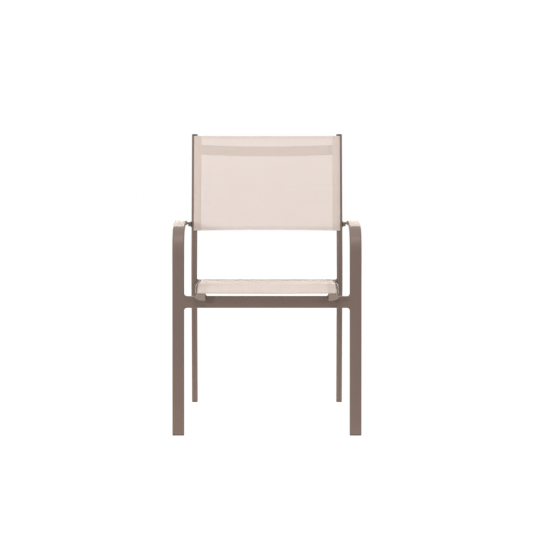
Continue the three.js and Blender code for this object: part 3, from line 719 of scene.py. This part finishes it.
def merged(name: str, meshes: Iterable[Mesh]) -> Mesh:
    """Puts several meshes together as one.

    Args:
        name: the new mesh's name.
        meshes: the meshes, which are used up.

    Returns:
        The new mesh.
    """
    shape = bmesh.new()
    for mesh in meshes:
        shape.from_mesh(mesh)
        bpy.data.meshes.remove(mesh)
    mesh = bpy.data.meshes.new(name)
    shape.to_mesh(mesh)
    shape.free()
    smooth(mesh, ROLL_CREASE)
    return mesh


def spaced(first: float, last: float, steps: int) -> list[float]:
    """Evenly spaced values from the first to the last."""
    return [first + (last - first) * step / steps for step in range(steps + 1)]


# Lines that the frame is bent to


@dataclass(frozen=True)
class Place:
    """A point on a bent line, and the way the line runs there."""

    y: float
    z: float
    heading: float

    def offset(self, x: float, depth: float) -> Vector:
        """The point at X and at a depth behind the line's face."""
        behind, below = depth * math.sin(self.heading), depth * math.cos(self.heading)
        return Vector((x, self.y + behind, self.z - below))


@dataclass(frozen=True)
class Run:
    """One straight or arc of a bent line."""

    start: Place
    after: float
    length: float
    turn: float

    def place(self, travelled: float) -> Place:
        """Finds a place on the run.

        Args:
            travelled: the distance along the run.

        Returns:
            The place.
        """
        turned = self.turn * travelled / self.length
        chord = travelled if turned == 0 else 2 * travelled * math.sin(turned / 2) / turned
        bearing = self.start.heading + turned / 2
        return Place(
            self.start.y + chord * math.cos(bearing),
            self.start.z + chord * math.sin(bearing),
            self.start.heading + turned,
        )


class BentLine:
    """A line of straights and arcs in an upright plane; headings turn from +Y towards +Z."""

    def __init__(self, y: float, z: float, heading: float) -> None:
        """Starts the line.

        Args:
            y: where it starts.
            z: where it starts.
            heading: the way it starts, in radians.
        """
        self.tip = Place(y, z, heading)
        self.length = 0.0
        self.runs: list[Run] = []

    def extend(self, length: float, turn: float = 0.0) -> "BentLine":
        """Adds a run.

        Args:
            length: the run's length.
            turn: how far its heading turns, in radians.

        Returns:
            The line itself.
        """
        run = Run(self.tip, self.length, length, turn)
        self.runs.append(run)
        self.length += length
        self.tip = run.place(length)
        return self

    def at(self, distance: float) -> Place:
        """Finds a place on the line, whose end runs go on past its ends.

        Args:
            distance: the distance along the line.

        Returns:
            The place.
        """
        for run in self.runs:
            if distance <= run.after + run.length:
                break
        return run.place(distance - run.after)

    def distance_where_y(self, value: float) -> float:
        """Finds where a line that only runs rearwards reaches a depth.

        Args:
            value: the depth, as Y.

        Returns:
            The distance along the line.
        """
        halvings = 50
        low, high = 0.0, self.length
        for _ in range(halvings):
            middle = (low + high) / 2
            if self.at(middle).y < value:
                low = middle
            else:
                high = middle
        return (low + high) / 2


@dataclass
class FrameLines:
    """The faces that the slings lie on, with the same sizes as the solids."""

    rail_front: float = -0.019
    crest_depth: float = 0.075
    crest_height: float = 0.4538
    crest_radius: float = 0.060
    front_slope: float = math.radians(9.6)
    rear_slope: float = math.radians(6.56)
    foot_depth: float = 0.500
    knee_depth: float = 0.390
    knee_height: float = 0.400
    knee_radius: float = 0.240
    top_depth: float = 0.525
    top_height: float = 0.8746
    cap_allowance: float = 0.0029

    def __post_init__(self) -> None:
        """Finds where the front legs' front faces stand in the row frame."""
        self.leg_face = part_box("left_front_glide")[0].y

    @property
    def recline(self) -> float:
        """How far the back leans to the rear, in radians."""
        return math.atan2(self.top_depth - self.knee_depth, self.top_height - self.knee_height)

    def rail(self) -> BentLine:
        """Builds the top of the seat rails, from their front ends to the rear.

        Returns:
            The line.
        """
        rise = (self.crest_depth - self.rail_front) / math.cos(self.front_slope)
        turn = self.front_slope + self.rear_slope
        tangent = self.crest_radius * math.tan(turn / 2)
        height = self.crest_height - rise * math.sin(self.front_slope)
        line = BentLine(self.leg_face + self.rail_front, height, self.front_slope)
        line.extend(rise - tangent).extend(self.crest_radius * turn, -turn)
        return line.extend(self.foot_depth)

    def upright(self) -> BentLine:
        """Builds the front faces of the uprights, from the floor to their caps.

        Returns:
            The line.
        """
        lean = math.atan2(self.foot_depth - self.knee_depth, self.knee_height)
        leg = math.hypot(self.foot_depth - self.knee_depth, self.knee_height)
        back = math.hypot(self.top_depth - self.knee_depth, self.top_height - self.knee_height)
        turn = lean + self.recline
        tangent = self.knee_radius * math.tan(turn / 2)
        line = BentLine(self.leg_face + self.foot_depth, 0.0, math.pi / 2 + lean)
        line.extend(leg - tangent).extend(self.knee_radius * turn, -turn)
        return line.extend(back - tangent - self.cap_allowance)


# The slings


@dataclass
class Sling:
    """One sling: its cloth, hems, rolled edges and rows of stitches."""

    finishes: Finishes
    name: str
    node: str
    holder: str
    labels: tuple[str, str]
    line: BentLine
    start: float
    end: float
    mouth: float
    sag: float
    start_hem: float
    end_hem: float
    wrap: float
    start_arch: float = 0.0
    end_arch: float = 0.0
    arch_power: int = 2
    sag_power: int = 4
    side_hem: float = 0.024
    lift: float = 0.0021
    ply: float = 0.0007
    tuck: float = 0.0014
    rear_turn: float = 0.0016
    across_steps: int = 56
    along_steps: int = 44
    fine_steps: int = 6
    hem_steps: int = 4
    seam_insets: tuple[float, float] = (0.0015, 0.0055)
    stitch_length: float = 0.0030
    stitch_gap: float = 0.0009
    stitch_radius: float = 0.00032
    stitch_sides: int = 5
    stitch_taper: tuple[float, ...] = (0.35, 0.9, 1.0, 0.9, 0.35)
    stitch_layer: float = -0.3

    @property
    def length(self) -> float:
        """Length of the cloth along its grooves."""
        return self.end - self.start

    @property
    def flat(self) -> float:
        """Half the width of the cloth that isn't turned into its grooves."""
        return self.mouth - self.wrap

    def ends_at(self, x: float) -> tuple[float, float]:
        """Where the cloth starts and ends along the line, at X."""
        arch = max(1 - (x / self.mouth) ** self.arch_power, 0.0)
        return self.start + self.start_arch * arch, self.end - self.end_arch * arch

    def reach(self, x: float, share: float) -> float:
        """The distance along the line of a share of the cloth, at X."""
        first, last = self.ends_at(x)
        return first + (last - first) * share

    def point(self, x: float, travelled: float, layer: float = 0.0) -> Vector:
        """A point on the cloth at X and a distance along the line, some plies behind its front."""
        sunk = self.sag * max(1 - (x / self.mouth) ** self.sag_power, 0.0)
        return self.line.at(travelled).offset(x, sunk - self.lift + layer * self.ply)

    def across_places(self) -> Places:
        """Spaces places across the cloth, closer where it turns into its grooves.

        Returns:
            X and extra depth of each place, from left to right.
        """
        hem = self.mouth - self.side_hem
        inner = [hem * step / self.across_steps * 2 for step in range(self.across_steps // 2)]
        right = [(x, 0.0) for x in inner + spaced(hem, self.flat, self.fine_steps)]
        for angle in spaced(0.0, 90.0, self.fine_steps)[1:]:
            turn = math.radians(angle)
            x, depth = self.flat + self.wrap * math.sin(turn), self.wrap * (1 - math.cos(turn))
            right.append((x, depth))
        right.append((self.mouth, self.wrap + self.tuck))
        return [(-x, depth) for x, depth in right[:0:-1]] + right

    def grid(self, places: Places, shares: Places, label: str = "") -> Mesh:
        """Lays a skin over the cloth's shape and maps it in metres.

        Args:
            places: X and extra depth across.
            shares: share of the way along, and ply, of each row.
            label: what the mesh's name adds to the sling's.

        Returns:
            The mesh.
        """
        rows = []
        for share, layer in shares:
            row = []
            for x, depth in places:
                travelled = self.reach(x, share)
                heading = self.line.at(travelled).heading
                inward = Vector((0.0, math.sin(heading), -math.cos(heading)))
                row.append(self.point(x, travelled, layer) + depth * inward)
            rows.append(row)
        mesh = strip_mesh(self.name + label, rows)
        across = [0.0]
        for (x, depth), (next_x, next_depth) in zip(places, places[1:]):
            across.append(across[-1] + math.hypot(next_x - x, next_depth - depth))
        cloth = mesh.uv_layers.new(name=SlingFabric.uv_map)
        for loop in mesh.loops:
            row, column = divmod(loop.vertex_index, len(places))
            cloth.data[loop.index].uv = (across[column], self.start + self.length * shares[row][0])
        mesh.shade_smooth()
        return mesh

    def shares(self) -> list[float]:
        """Rows along the cloth, with one at each hem's inner edge."""
        low, high = self.start_hem / self.length, 1 - self.end_hem / self.length
        return [0.0, low / 2, *spaced(low, high, self.along_steps), (1 + high) / 2, 1.0]

    def build_cloth(self) -> Object:
        """Builds the front ply, whose hemmed margins take the hem finish: painted shade for the
        doubled cloth, which lets less light through than the single ply.

        Returns:
            The cloth.
        """
        places = self.across_places()
        shares = self.shares()
        mesh = self.grid(places, [(share, 0.0) for share in shares])
        hem_edge = self.mouth - self.side_hem - HAIR
        for face in mesh.polygons:
            row, column = divmod(face.index, len(places) - 1)
            x = (places[column][0] + places[column + 1][0]) / 2
            travelled = (shares[row] + shares[row + 1]) / 2 * self.length
            in_end = travelled < self.start_hem or travelled > self.length - self.end_hem
            # Faces in the hems take the hem finish, whose darker colour is painted shade.
            face.material_index = 1 if in_end or abs(x) > hem_edge else 0
        piece = new_piece(mesh, [self.finishes.fabric, self.finishes.hem])
        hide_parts(self.node)
        return piece

    def build_end_hem(self, at_end: bool) -> Object:
        """Builds a hem across the cloth: its rolled edge and the ply behind.

        Args:
            at_end: whether it is at the line's end, not at its start.

        Returns:
            The hem.
        """
        deep = (self.end_hem if at_end else self.start_hem) / self.length
        edge, inward = (1.0, -1.0) if at_end else (0.0, 1.0)
        rows = []
        for angle in spaced(0.0, math.pi, self.fine_steps):
            out = -inward * (self.ply / 2) * math.sin(angle) / self.length
            rows.append((edge + out, (1 - math.cos(angle)) / 2))
        steps = range(1, self.hem_steps + 1)
        rows += [(edge + inward * deep * step / self.hem_steps, 1.0) for step in steps]
        places = [(x, depth) for x, depth in self.across_places() if abs(x) <= self.flat + HAIR]
        mesh = self.grid(places, rows, f"_{self.labels[at_end]}_hem")
        return new_piece(mesh, [self.finishes.hem])

    def build_side_hem(self, side: Side) -> Object:
        """Builds the ply behind one side, which comes back out of the groove.

        Args:
            side: the side.

        Returns:
            The hem.
        """
        inner, outer = self.mouth - self.side_hem, self.mouth - self.rear_turn
        span = [(x, 0.0) for x in spaced(inner, outer, self.fine_steps)]
        span.append((self.mouth - self.ply, self.wrap + self.tuck))
        places = [(side.sign * x, depth) for x, depth in span][:: side.sign]
        shares = [(share, 2.0) for share in self.shares()]
        mesh = self.grid(places, shares, f"_{side.value}_hem")
        return new_piece(mesh, [self.finishes.hem])

    def stitch_size(self, spot: int) -> float:
        """Radius of a stitch at one of its points, thinner at its ends."""
        return self.stitch_radius * self.stitch_taper[spot]

    def stitch_row(self, path: Callable[[float], Vector], length: float) -> list[Mesh]:
        """Builds one row of stitches.

        Args:
            path: the point at a distance along the seam.
            length: the seam's length.

        Returns:
            A mesh for each stitch.
        """
        pitch = self.stitch_length + self.stitch_gap
        steps = len(self.stitch_taper) - 1
        stitches = []
        for number in range(int(length / pitch)):
            begin = number * pitch
            spots = [path(begin + self.stitch_length * step / steps) for step in range(steps + 1)]
            stitches.append(rolled("stitch", spots, self.stitch_size, self.stitch_sides, False))
        return stitches

    def build_stitches(self) -> Object:
        """Builds every row of stitches: two beside each hem's inner edge.

        Returns:
            The stitches.
        """
        rows: list[Mesh] = []
        for inset in self.seam_insets:
            for travelled in (self.start_hem - inset, self.length - self.end_hem + inset):

                def across(distance: float, share: float = travelled / self.length) -> Vector:
                    """The point on a seam across the cloth."""
                    x = distance - self.flat
                    return self.point(x, self.reach(x, share), self.stitch_layer)

                rows += self.stitch_row(across, 2 * self.flat)
            for side in Side:
                x = side.sign * (self.mouth - self.side_hem + inset)
                first, last = self.ends_at(x)

                def down(distance: float, x: float = x, first: float = first) -> Vector:
                    """The point on a seam along the cloth."""
                    return self.point(x, first + distance, self.stitch_layer)

                rows += self.stitch_row(down, last - first)
        mesh = merged(f"{self.name}_stitches", rows)
        return new_piece(mesh, [self.finishes.thread])

    def build(self) -> None:
        """Builds the whole sling."""
        cloth = self.build_cloth()
        extras = [
            *(self.build_end_hem(at_end) for at_end in (False, True)),
            *(self.build_side_hem(side) for side in Side),
            self.build_stitches(),
        ]


def seat_sling(finishes: Finishes, lines: FrameLines) -> Sling:
    """The seat's sling, from the front of the rails to just before the rear tube.

    Args:
        finishes: the materials.
        lines: the faces that it lies on.

    Returns:
        The sling.
    """
    line = lines.rail()
    inside_solid = 0.0002
    return Sling(
        finishes,
        name="seat_sling_cloth",
        node="seat_sling",
        holder="seat_rail",
        labels=("front", "rear"),
        line=line,
        start=0.002,
        end=line.distance_where_y(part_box("seat_sling")[1].y - inside_solid),
        mouth=0.2086,
        end_arch=0.0015,
        sag=0.001,
        start_hem=0.010,
        end_hem=0.012,
        wrap=0.0016,
    )


def back_sling(finishes: Finishes, lines: FrameLines) -> Sling:
    """The back's sling, from just above the arm joints to the top of the uprights.

    Args:
        finishes: the materials.
        lines: the faces that it lies on.

    Returns:
        The sling.
    """
    line = lines.upright()
    height, below_caps = 0.308, 0.0035
    end = line.length - below_caps
    return Sling(
        finishes,
        name="back_sling_cloth",
        node="back_sling",
        holder="rear_upright",
        labels=("bottom", "top"),
        line=line,
        start=end - height,
        end=end,
        mouth=0.2346,
        start_arch=0.003,
        sag=0.004,
        start_hem=0.011,
        end_hem=0.009,
        wrap=0.0018,
    )


# The frame


@dataclass
class WeldBeads:
    """Small weld beads where the frame's pieces meet."""

    radius: float = 0.0022
    sides: int = 10
    ripple: float = 0.0026
    ripple_spots: int = 4
    ripple_depth: float = 0.14
    thin_end: float = 0.35
    taper_spots: int = 6
    end_depth: float = 0.0005
    end_sink: float = 0.0006
    corner: float = 0.003
    rail_sinks: tuple[float, float] = (0.0004, 0.0016)
    bar_gap: float = 0.0002
    bar_drop: float = 0.006
    bar_rise: float = 0.0008
    fillet_width: float = 0.0045
    fillet_height: float = 0.008
    fillet_depth: float = 0.06
    fillet_root: float = 0.25
    fillet_steps: int = 6

    def swell(self, spot: int, depth: float) -> float:
        """How much the ripples of the welder's passes thicken a weld at a point."""
        return 1 + depth * math.cos(2 * math.pi * spot / self.ripple_spots)

    def bead(self, path: list[Vector], closed: bool) -> Mesh:
        """One bead along a path.

        Args:
            path: corners of the path.
            closed: whether it is a loop.

        Returns:
            The bead's mesh.
        """
        corners = path + [path[0]] if closed else path
        points = []
        for first, second in zip(corners, corners[1:]):
            steps = max(round((second - first).length / self.ripple * self.ripple_spots), 1)
            points += [first.lerp(second, step / steps) for step in range(steps)]
        if not closed:
            points.append(corners[-1])
        last = len(points) - 1

        def size(spot: int) -> float:
            """The bead's radius at a point, thinner at its open ends."""
            taper = min(self.thin_end + min(spot, last - spot) / self.taper_spots, 1.0)
            return self.radius * (1.0 if closed else taper) * self.swell(spot, self.ripple_depth)

        return rolled("bead", points, size, self.sides, closed)

    def tube_end(self, side: Side, node: str, inset: float, tilt: float) -> Mesh:
        """The bead round the end of a cross tube.

        Args:
            side: which end.
            node: the tube's node.
            inset: how far inside the tube's outline the bead's middle runs.
            tilt: how far the tube leans back, in radians.

        Returns:
            The bead's mesh.
        """
        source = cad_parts[node].data
        reach = max(vertex.co.x for vertex in source.vertices)
        ends = [vertex.co for vertex in source.vertices if vertex.co.x > reach - self.end_depth]
        turn = Matrix.Rotation(tilt, 4, "X")
        flat = [turn @ point for point in ends]
        low = Vector((0.0, min(p.y for p in flat) + inset, min(p.z for p in flat) + inset))
        high = Vector((0.0, max(p.y for p in flat) - inset, max(p.z for p in flat) - inset))
        corner = self.corner
        x = side.sign * (reach - self.end_sink)
        loop = [
            (low.y + corner, low.z),
            (high.y - corner, low.z),
            (high.y, low.z + corner),
            (high.y, high.z - corner),
            (high.y - corner, high.z),
            (low.y + corner, high.z),
            (low.y, high.z - corner),
            (low.y, low.z + corner),
        ]
        back = turn.inverted()
        return self.bead([back @ Vector((x, y, z)) for y, z in loop], True)

    def rail_seat(self, side: Side, crossbar_top: float) -> list[Mesh]:
        """The beads on both sides of a rail where it sits in the crossbar.

        Args:
            side: which rail.
            crossbar_top: height of the crossbar's top.

        Returns:
            The beads' meshes.
        """
        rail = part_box(f"{side.value}_seat_rail")
        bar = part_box("front_crossbar")
        inner, outer = sorted((abs(rail[0].x), abs(rail[1].x)))
        front, rear = bar[0].y - self.bar_gap, bar[1].y + self.bar_gap
        low, high = crossbar_top - self.bar_drop, crossbar_top + self.bar_rise
        spots = ((front, low), (front, high), (rear, high), (rear, low))
        beads = []
        for face, sink in zip((inner, outer), self.rail_sinks):
            x = side.sign * (face - sink)
            beads.append(self.bead([Vector((x, y, z)) for y, z in spots], False))
        depths = (bar[0].y + self.radius, bar[1].y - self.radius)
        return [*beads, self.fillet(side.sign * inner, -side.sign, crossbar_top, depths)]

    def fillet(self, x: float, way: int, z: float, depths: tuple[float, float]) -> Mesh:
        """The hollow weld that fills the corner between a rail's side and the crossbar's top.

        Args:
            x: where the rail's side stands.
            way: the sign of X towards which the weld runs out.
            z: height of the crossbar's top.
            depths: where the weld starts and ends along Y.

        Returns:
            The weld's mesh.
        """
        front, rear = depths
        steps = round((rear - front) / self.ripple * self.ripple_spots)
        root = self.radius * self.fillet_root
        rows = []
        for step in range(steps + 1):
            y = front + (rear - front) * step / steps
            size = self.swell(step, self.fillet_depth)
            wide, high = way * self.fillet_width * size, self.fillet_height * size
            turns = spaced(0.0, math.pi / 2, self.fillet_steps)
            row = [(x + wide * (1 - math.sin(a)), z + high * (1 - math.cos(a))) for a in turns]
            row.append((x - way * root, z - root))
            rows.append([Vector((across, y, up)) for across, up in row])
        return strip_mesh("fillet", rows, closed=True, capped=True)


@dataclass
class FrontFrame:
    """The arm tubes, the crossbar between them, their glides and their rear caps."""

    finishes: Finishes
    glide_edge: float = 0.0007

    def build(self) -> None:
        """Builds and dresses the front of the frame."""
        HardPieces("arm_tube").build(self.finishes.powder)
        HardPieces("front_crossbar", sided=False).build(self.finishes.powder)
        HardPieces("front_glide", Slot.GLIDE, self.glide_edge).build(self.finishes.glide)
        HardPieces("arm_end_cap", Slot.CAP).build(self.finishes.cap)


@dataclass
class BackFrame:
    """The uprights, the cross tubes, the groove strips, the glides and the top caps."""

    finishes: Finishes
    recline: float
    strip_edge: float = 0.0002
    glide_edge: float = 0.0007
    seat_tube_inset: float = 0.0013
    top_tube_inset: float = 0.0008
    beads: WeldBeads = field(default_factory=WeldBeads)

    def build(self) -> None:
        """Builds and dresses the back of the frame."""
        HardPieces("rear_upright").build(self.finishes.powder)
        HardPieces("groove_strip", edge=self.strip_edge).build(self.finishes.powder)
        for tube in ("rear_seat_tube", "back_top_tube"):
            HardPieces(tube, sided=False).build(self.finishes.powder)
        HardPieces("rear_glide", Slot.GLIDE, self.glide_edge).build(self.finishes.glide)
        HardPieces("upright_top_cap", Slot.GLIDE).build(self.finishes.glide)
        tubes = (
            ("rear_seat_tube", self.seat_tube_inset, 0.0),
            ("back_top_tube", self.top_tube_inset, self.recline),
        )
        welds = [self.beads.tube_end(side, *tube) for tube in tubes for side in Side]
        new_piece(merged("back_frame_welds", welds), [self.finishes.weld])


@dataclass
class SeatRails:
    """The grooved seat rails, their front caps and their welds."""

    finishes: Finishes
    cap_edge: float = 0.0005
    corner_weld: float = 0.0074
    beads: WeldBeads = field(default_factory=WeldBeads)

    def build(self) -> None:
        """Builds and dresses the seat rails."""
        HardPieces("seat_rail").build(self.finishes.powder)
        HardPieces("seat_rail_cap", Slot.CAP, self.cap_edge).build(self.finishes.cap)
        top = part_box("front_crossbar")[1].z - self.corner_weld
        welds = [bead for side in Side for bead in self.beads.rail_seat(side, top)]
        new_piece(merged("seat_rail_welds", welds), [self.finishes.weld])


@dataclass
class ArmJoints:
    """The bolt and its stack between each armrest and upright."""

    finishes: Finishes
    bolt_edge: float = 0.0002
    fitting_edge: float = 0.0003

    def build(self) -> None:
        """Builds and dresses both joints."""
        HardPieces("arm_bolt", Slot.STEEL, self.bolt_edge).build(self.finishes.steel)
        HardPieces("arm_joint_seat", Slot.JOINT).build(self.finishes.joint)
        HardPieces("arm_joint_spacer", Slot.CAP, self.fitting_edge).build(self.finishes.cap)
        HardPieces("arm_joint_bush", Slot.JOINT).build(self.finishes.bush)
        HardPieces("arm_lock_nut", Slot.STEEL, self.fitting_edge).build(self.finishes.steel)


def dress_hidden_rods(finishes: Finishes) -> None:
    """Gives the rods in the sling pockets their finish.

    Args:
        finishes: the materials.
    """
    for part in ("seat", "back"):
        for side in Side:
            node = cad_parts[f"{side.value}_{part}_sling_rod"]
            node.material_slots[0].material = finishes.rod


# The studio


@dataclass
class Softbox:
    """One large soft lamp that points at the chair."""

    name: str
    place: Point
    target: Point
    size: tuple[float, float]
    power: float
    tint: Point = WHITE[:3]

    def build(self) -> None:
        """Adds the lamp."""
        lamp = bpy.data.lights.new(self.name, "AREA")
        lamp.shape = "RECTANGLE"
        lamp.size, lamp.size_y = self.size
        lamp.energy = self.power
        lamp.color = self.tint
        holder = placed(self.name, lamp)
        holder.location = self.place
        toward = Vector(self.target) - Vector(self.place)
        holder.rotation_euler = toward.to_track_quat("-Z", "Y").to_euler()
        holder.visible_camera = False
        log.info("placed %s", self.name)


@dataclass
class Studio:
    """The floor, the white surroundings, the lamps and the camera."""

    lens: float = 143.13
    stand_back: float = 6.381
    eye_height: float = 1.430
    pitch: float = math.radians(8.22)
    yaw: float = 0.00021
    floor_size: float = 14.0
    ambient: float = 0.20
    lamps: list[Softbox] = field(
        default_factory=lambda: [
            Softbox("top_softbox", (0.0, 0.6, 3.2), (0.0, 0.0, 0.5), (2.6, 2.6), 15.0),
            Softbox("front_softbox", (0.0, -1.5, 3.1), (0.0, 0.0, 0.5), (1.2, 0.8), 41.0),
            Softbox("left_softbox", (-2.62, -2.1, 1.45), (0.0, 0.1, 0.45), (0.6, 0.6), 36.0),
            Softbox("right_softbox", (2.62, -2.1, 1.45), (0.0, 0.1, 0.45), (0.7, 0.7), 17.0),
            Softbox("rear_softbox", (0.0, 3.4, 1.1), (0.0, 0.0, 0.6), (3.0, 1.0), 44.0, WARM),
        ]
    )

    def build_camera(self, leg_face: float) -> None:
        """Adds the camera at the photograph's place.

        Args:
            leg_face: where the front legs' front faces stand.
        """
        lens = bpy.data.cameras.new("photograph_view")
        lens.lens = self.lens
        lens.sensor_width = 36.0
        camera = placed("photograph_view", lens)
        camera.location = (0.0, leg_face - self.stand_back, self.eye_height)
        camera.rotation_euler = (math.pi / 2 - self.pitch, 0.0, self.yaw)
        bpy.context.scene.camera = camera

    def build_floor(self) -> None:
        """Adds the floor under the chair."""
        half = self.floor_size / 2
        corners = [(-half, -half), (half, -half), (half, half), (-half, half)]
        mesh = bpy.data.meshes.new("studio_floor")
        mesh.from_pydata([(x, y, 0.0) for x, y in corners], [], [(0, 1, 2, 3)])
        mesh.materials.append(StudioFloor().make())
        placed("studio_floor", mesh)

    def build_surroundings(self) -> None:
        """Adds the world: white wherever it is seen, and a weaker light elsewhere."""
        world = bpy.data.worlds.new("studio")
        world.use_nodes = True
        world.node_tree.nodes.clear()
        sheet = NodeSheet(world.node_tree)
        strength = sheet.maths("MULTIPLY_ADD", sheet.seen(), 1.0 - self.ambient, self.ambient)
        light = sheet.fill(sheet.add("ShaderNodeBackground"), Color=WHITE, Strength=strength)
        sheet.fill(sheet.add("ShaderNodeOutputWorld"), Surface=light.outputs[0])
        bpy.context.scene.world = world

    def build(self, leg_face: float) -> None:
        """Builds the whole studio.

        Args:
            leg_face: where the front legs' front faces stand.
        """
        self.build_camera(leg_face)
        self.build_floor()
        self.build_surroundings()
        for lamp in self.lamps:
            lamp.build()
        bpy.context.scene.view_settings.view_transform = "Standard"


def save_sizes() -> None:
    """Brings the scene's placements up to date."""
    bpy.context.view_layer.update()


def main() -> None:
    """Builds the studio, the frame and the slings in order."""
    logging.basicConfig(level=logging.INFO, format="%(message)s")
    lines = FrameLines()
    Studio().build(lines.leg_face)
    finishes = Finishes()
    FrontFrame(finishes).build()
    BackFrame(finishes, lines.recline).build()
    SeatRails(finishes).build()
    ArmJoints(finishes).build()
    dress_hidden_rods(finishes)
    seat_sling(finishes, lines).build()
    back_sling(finishes, lines).build()
    save_sizes()


if __name__ == "__main__":
    main()
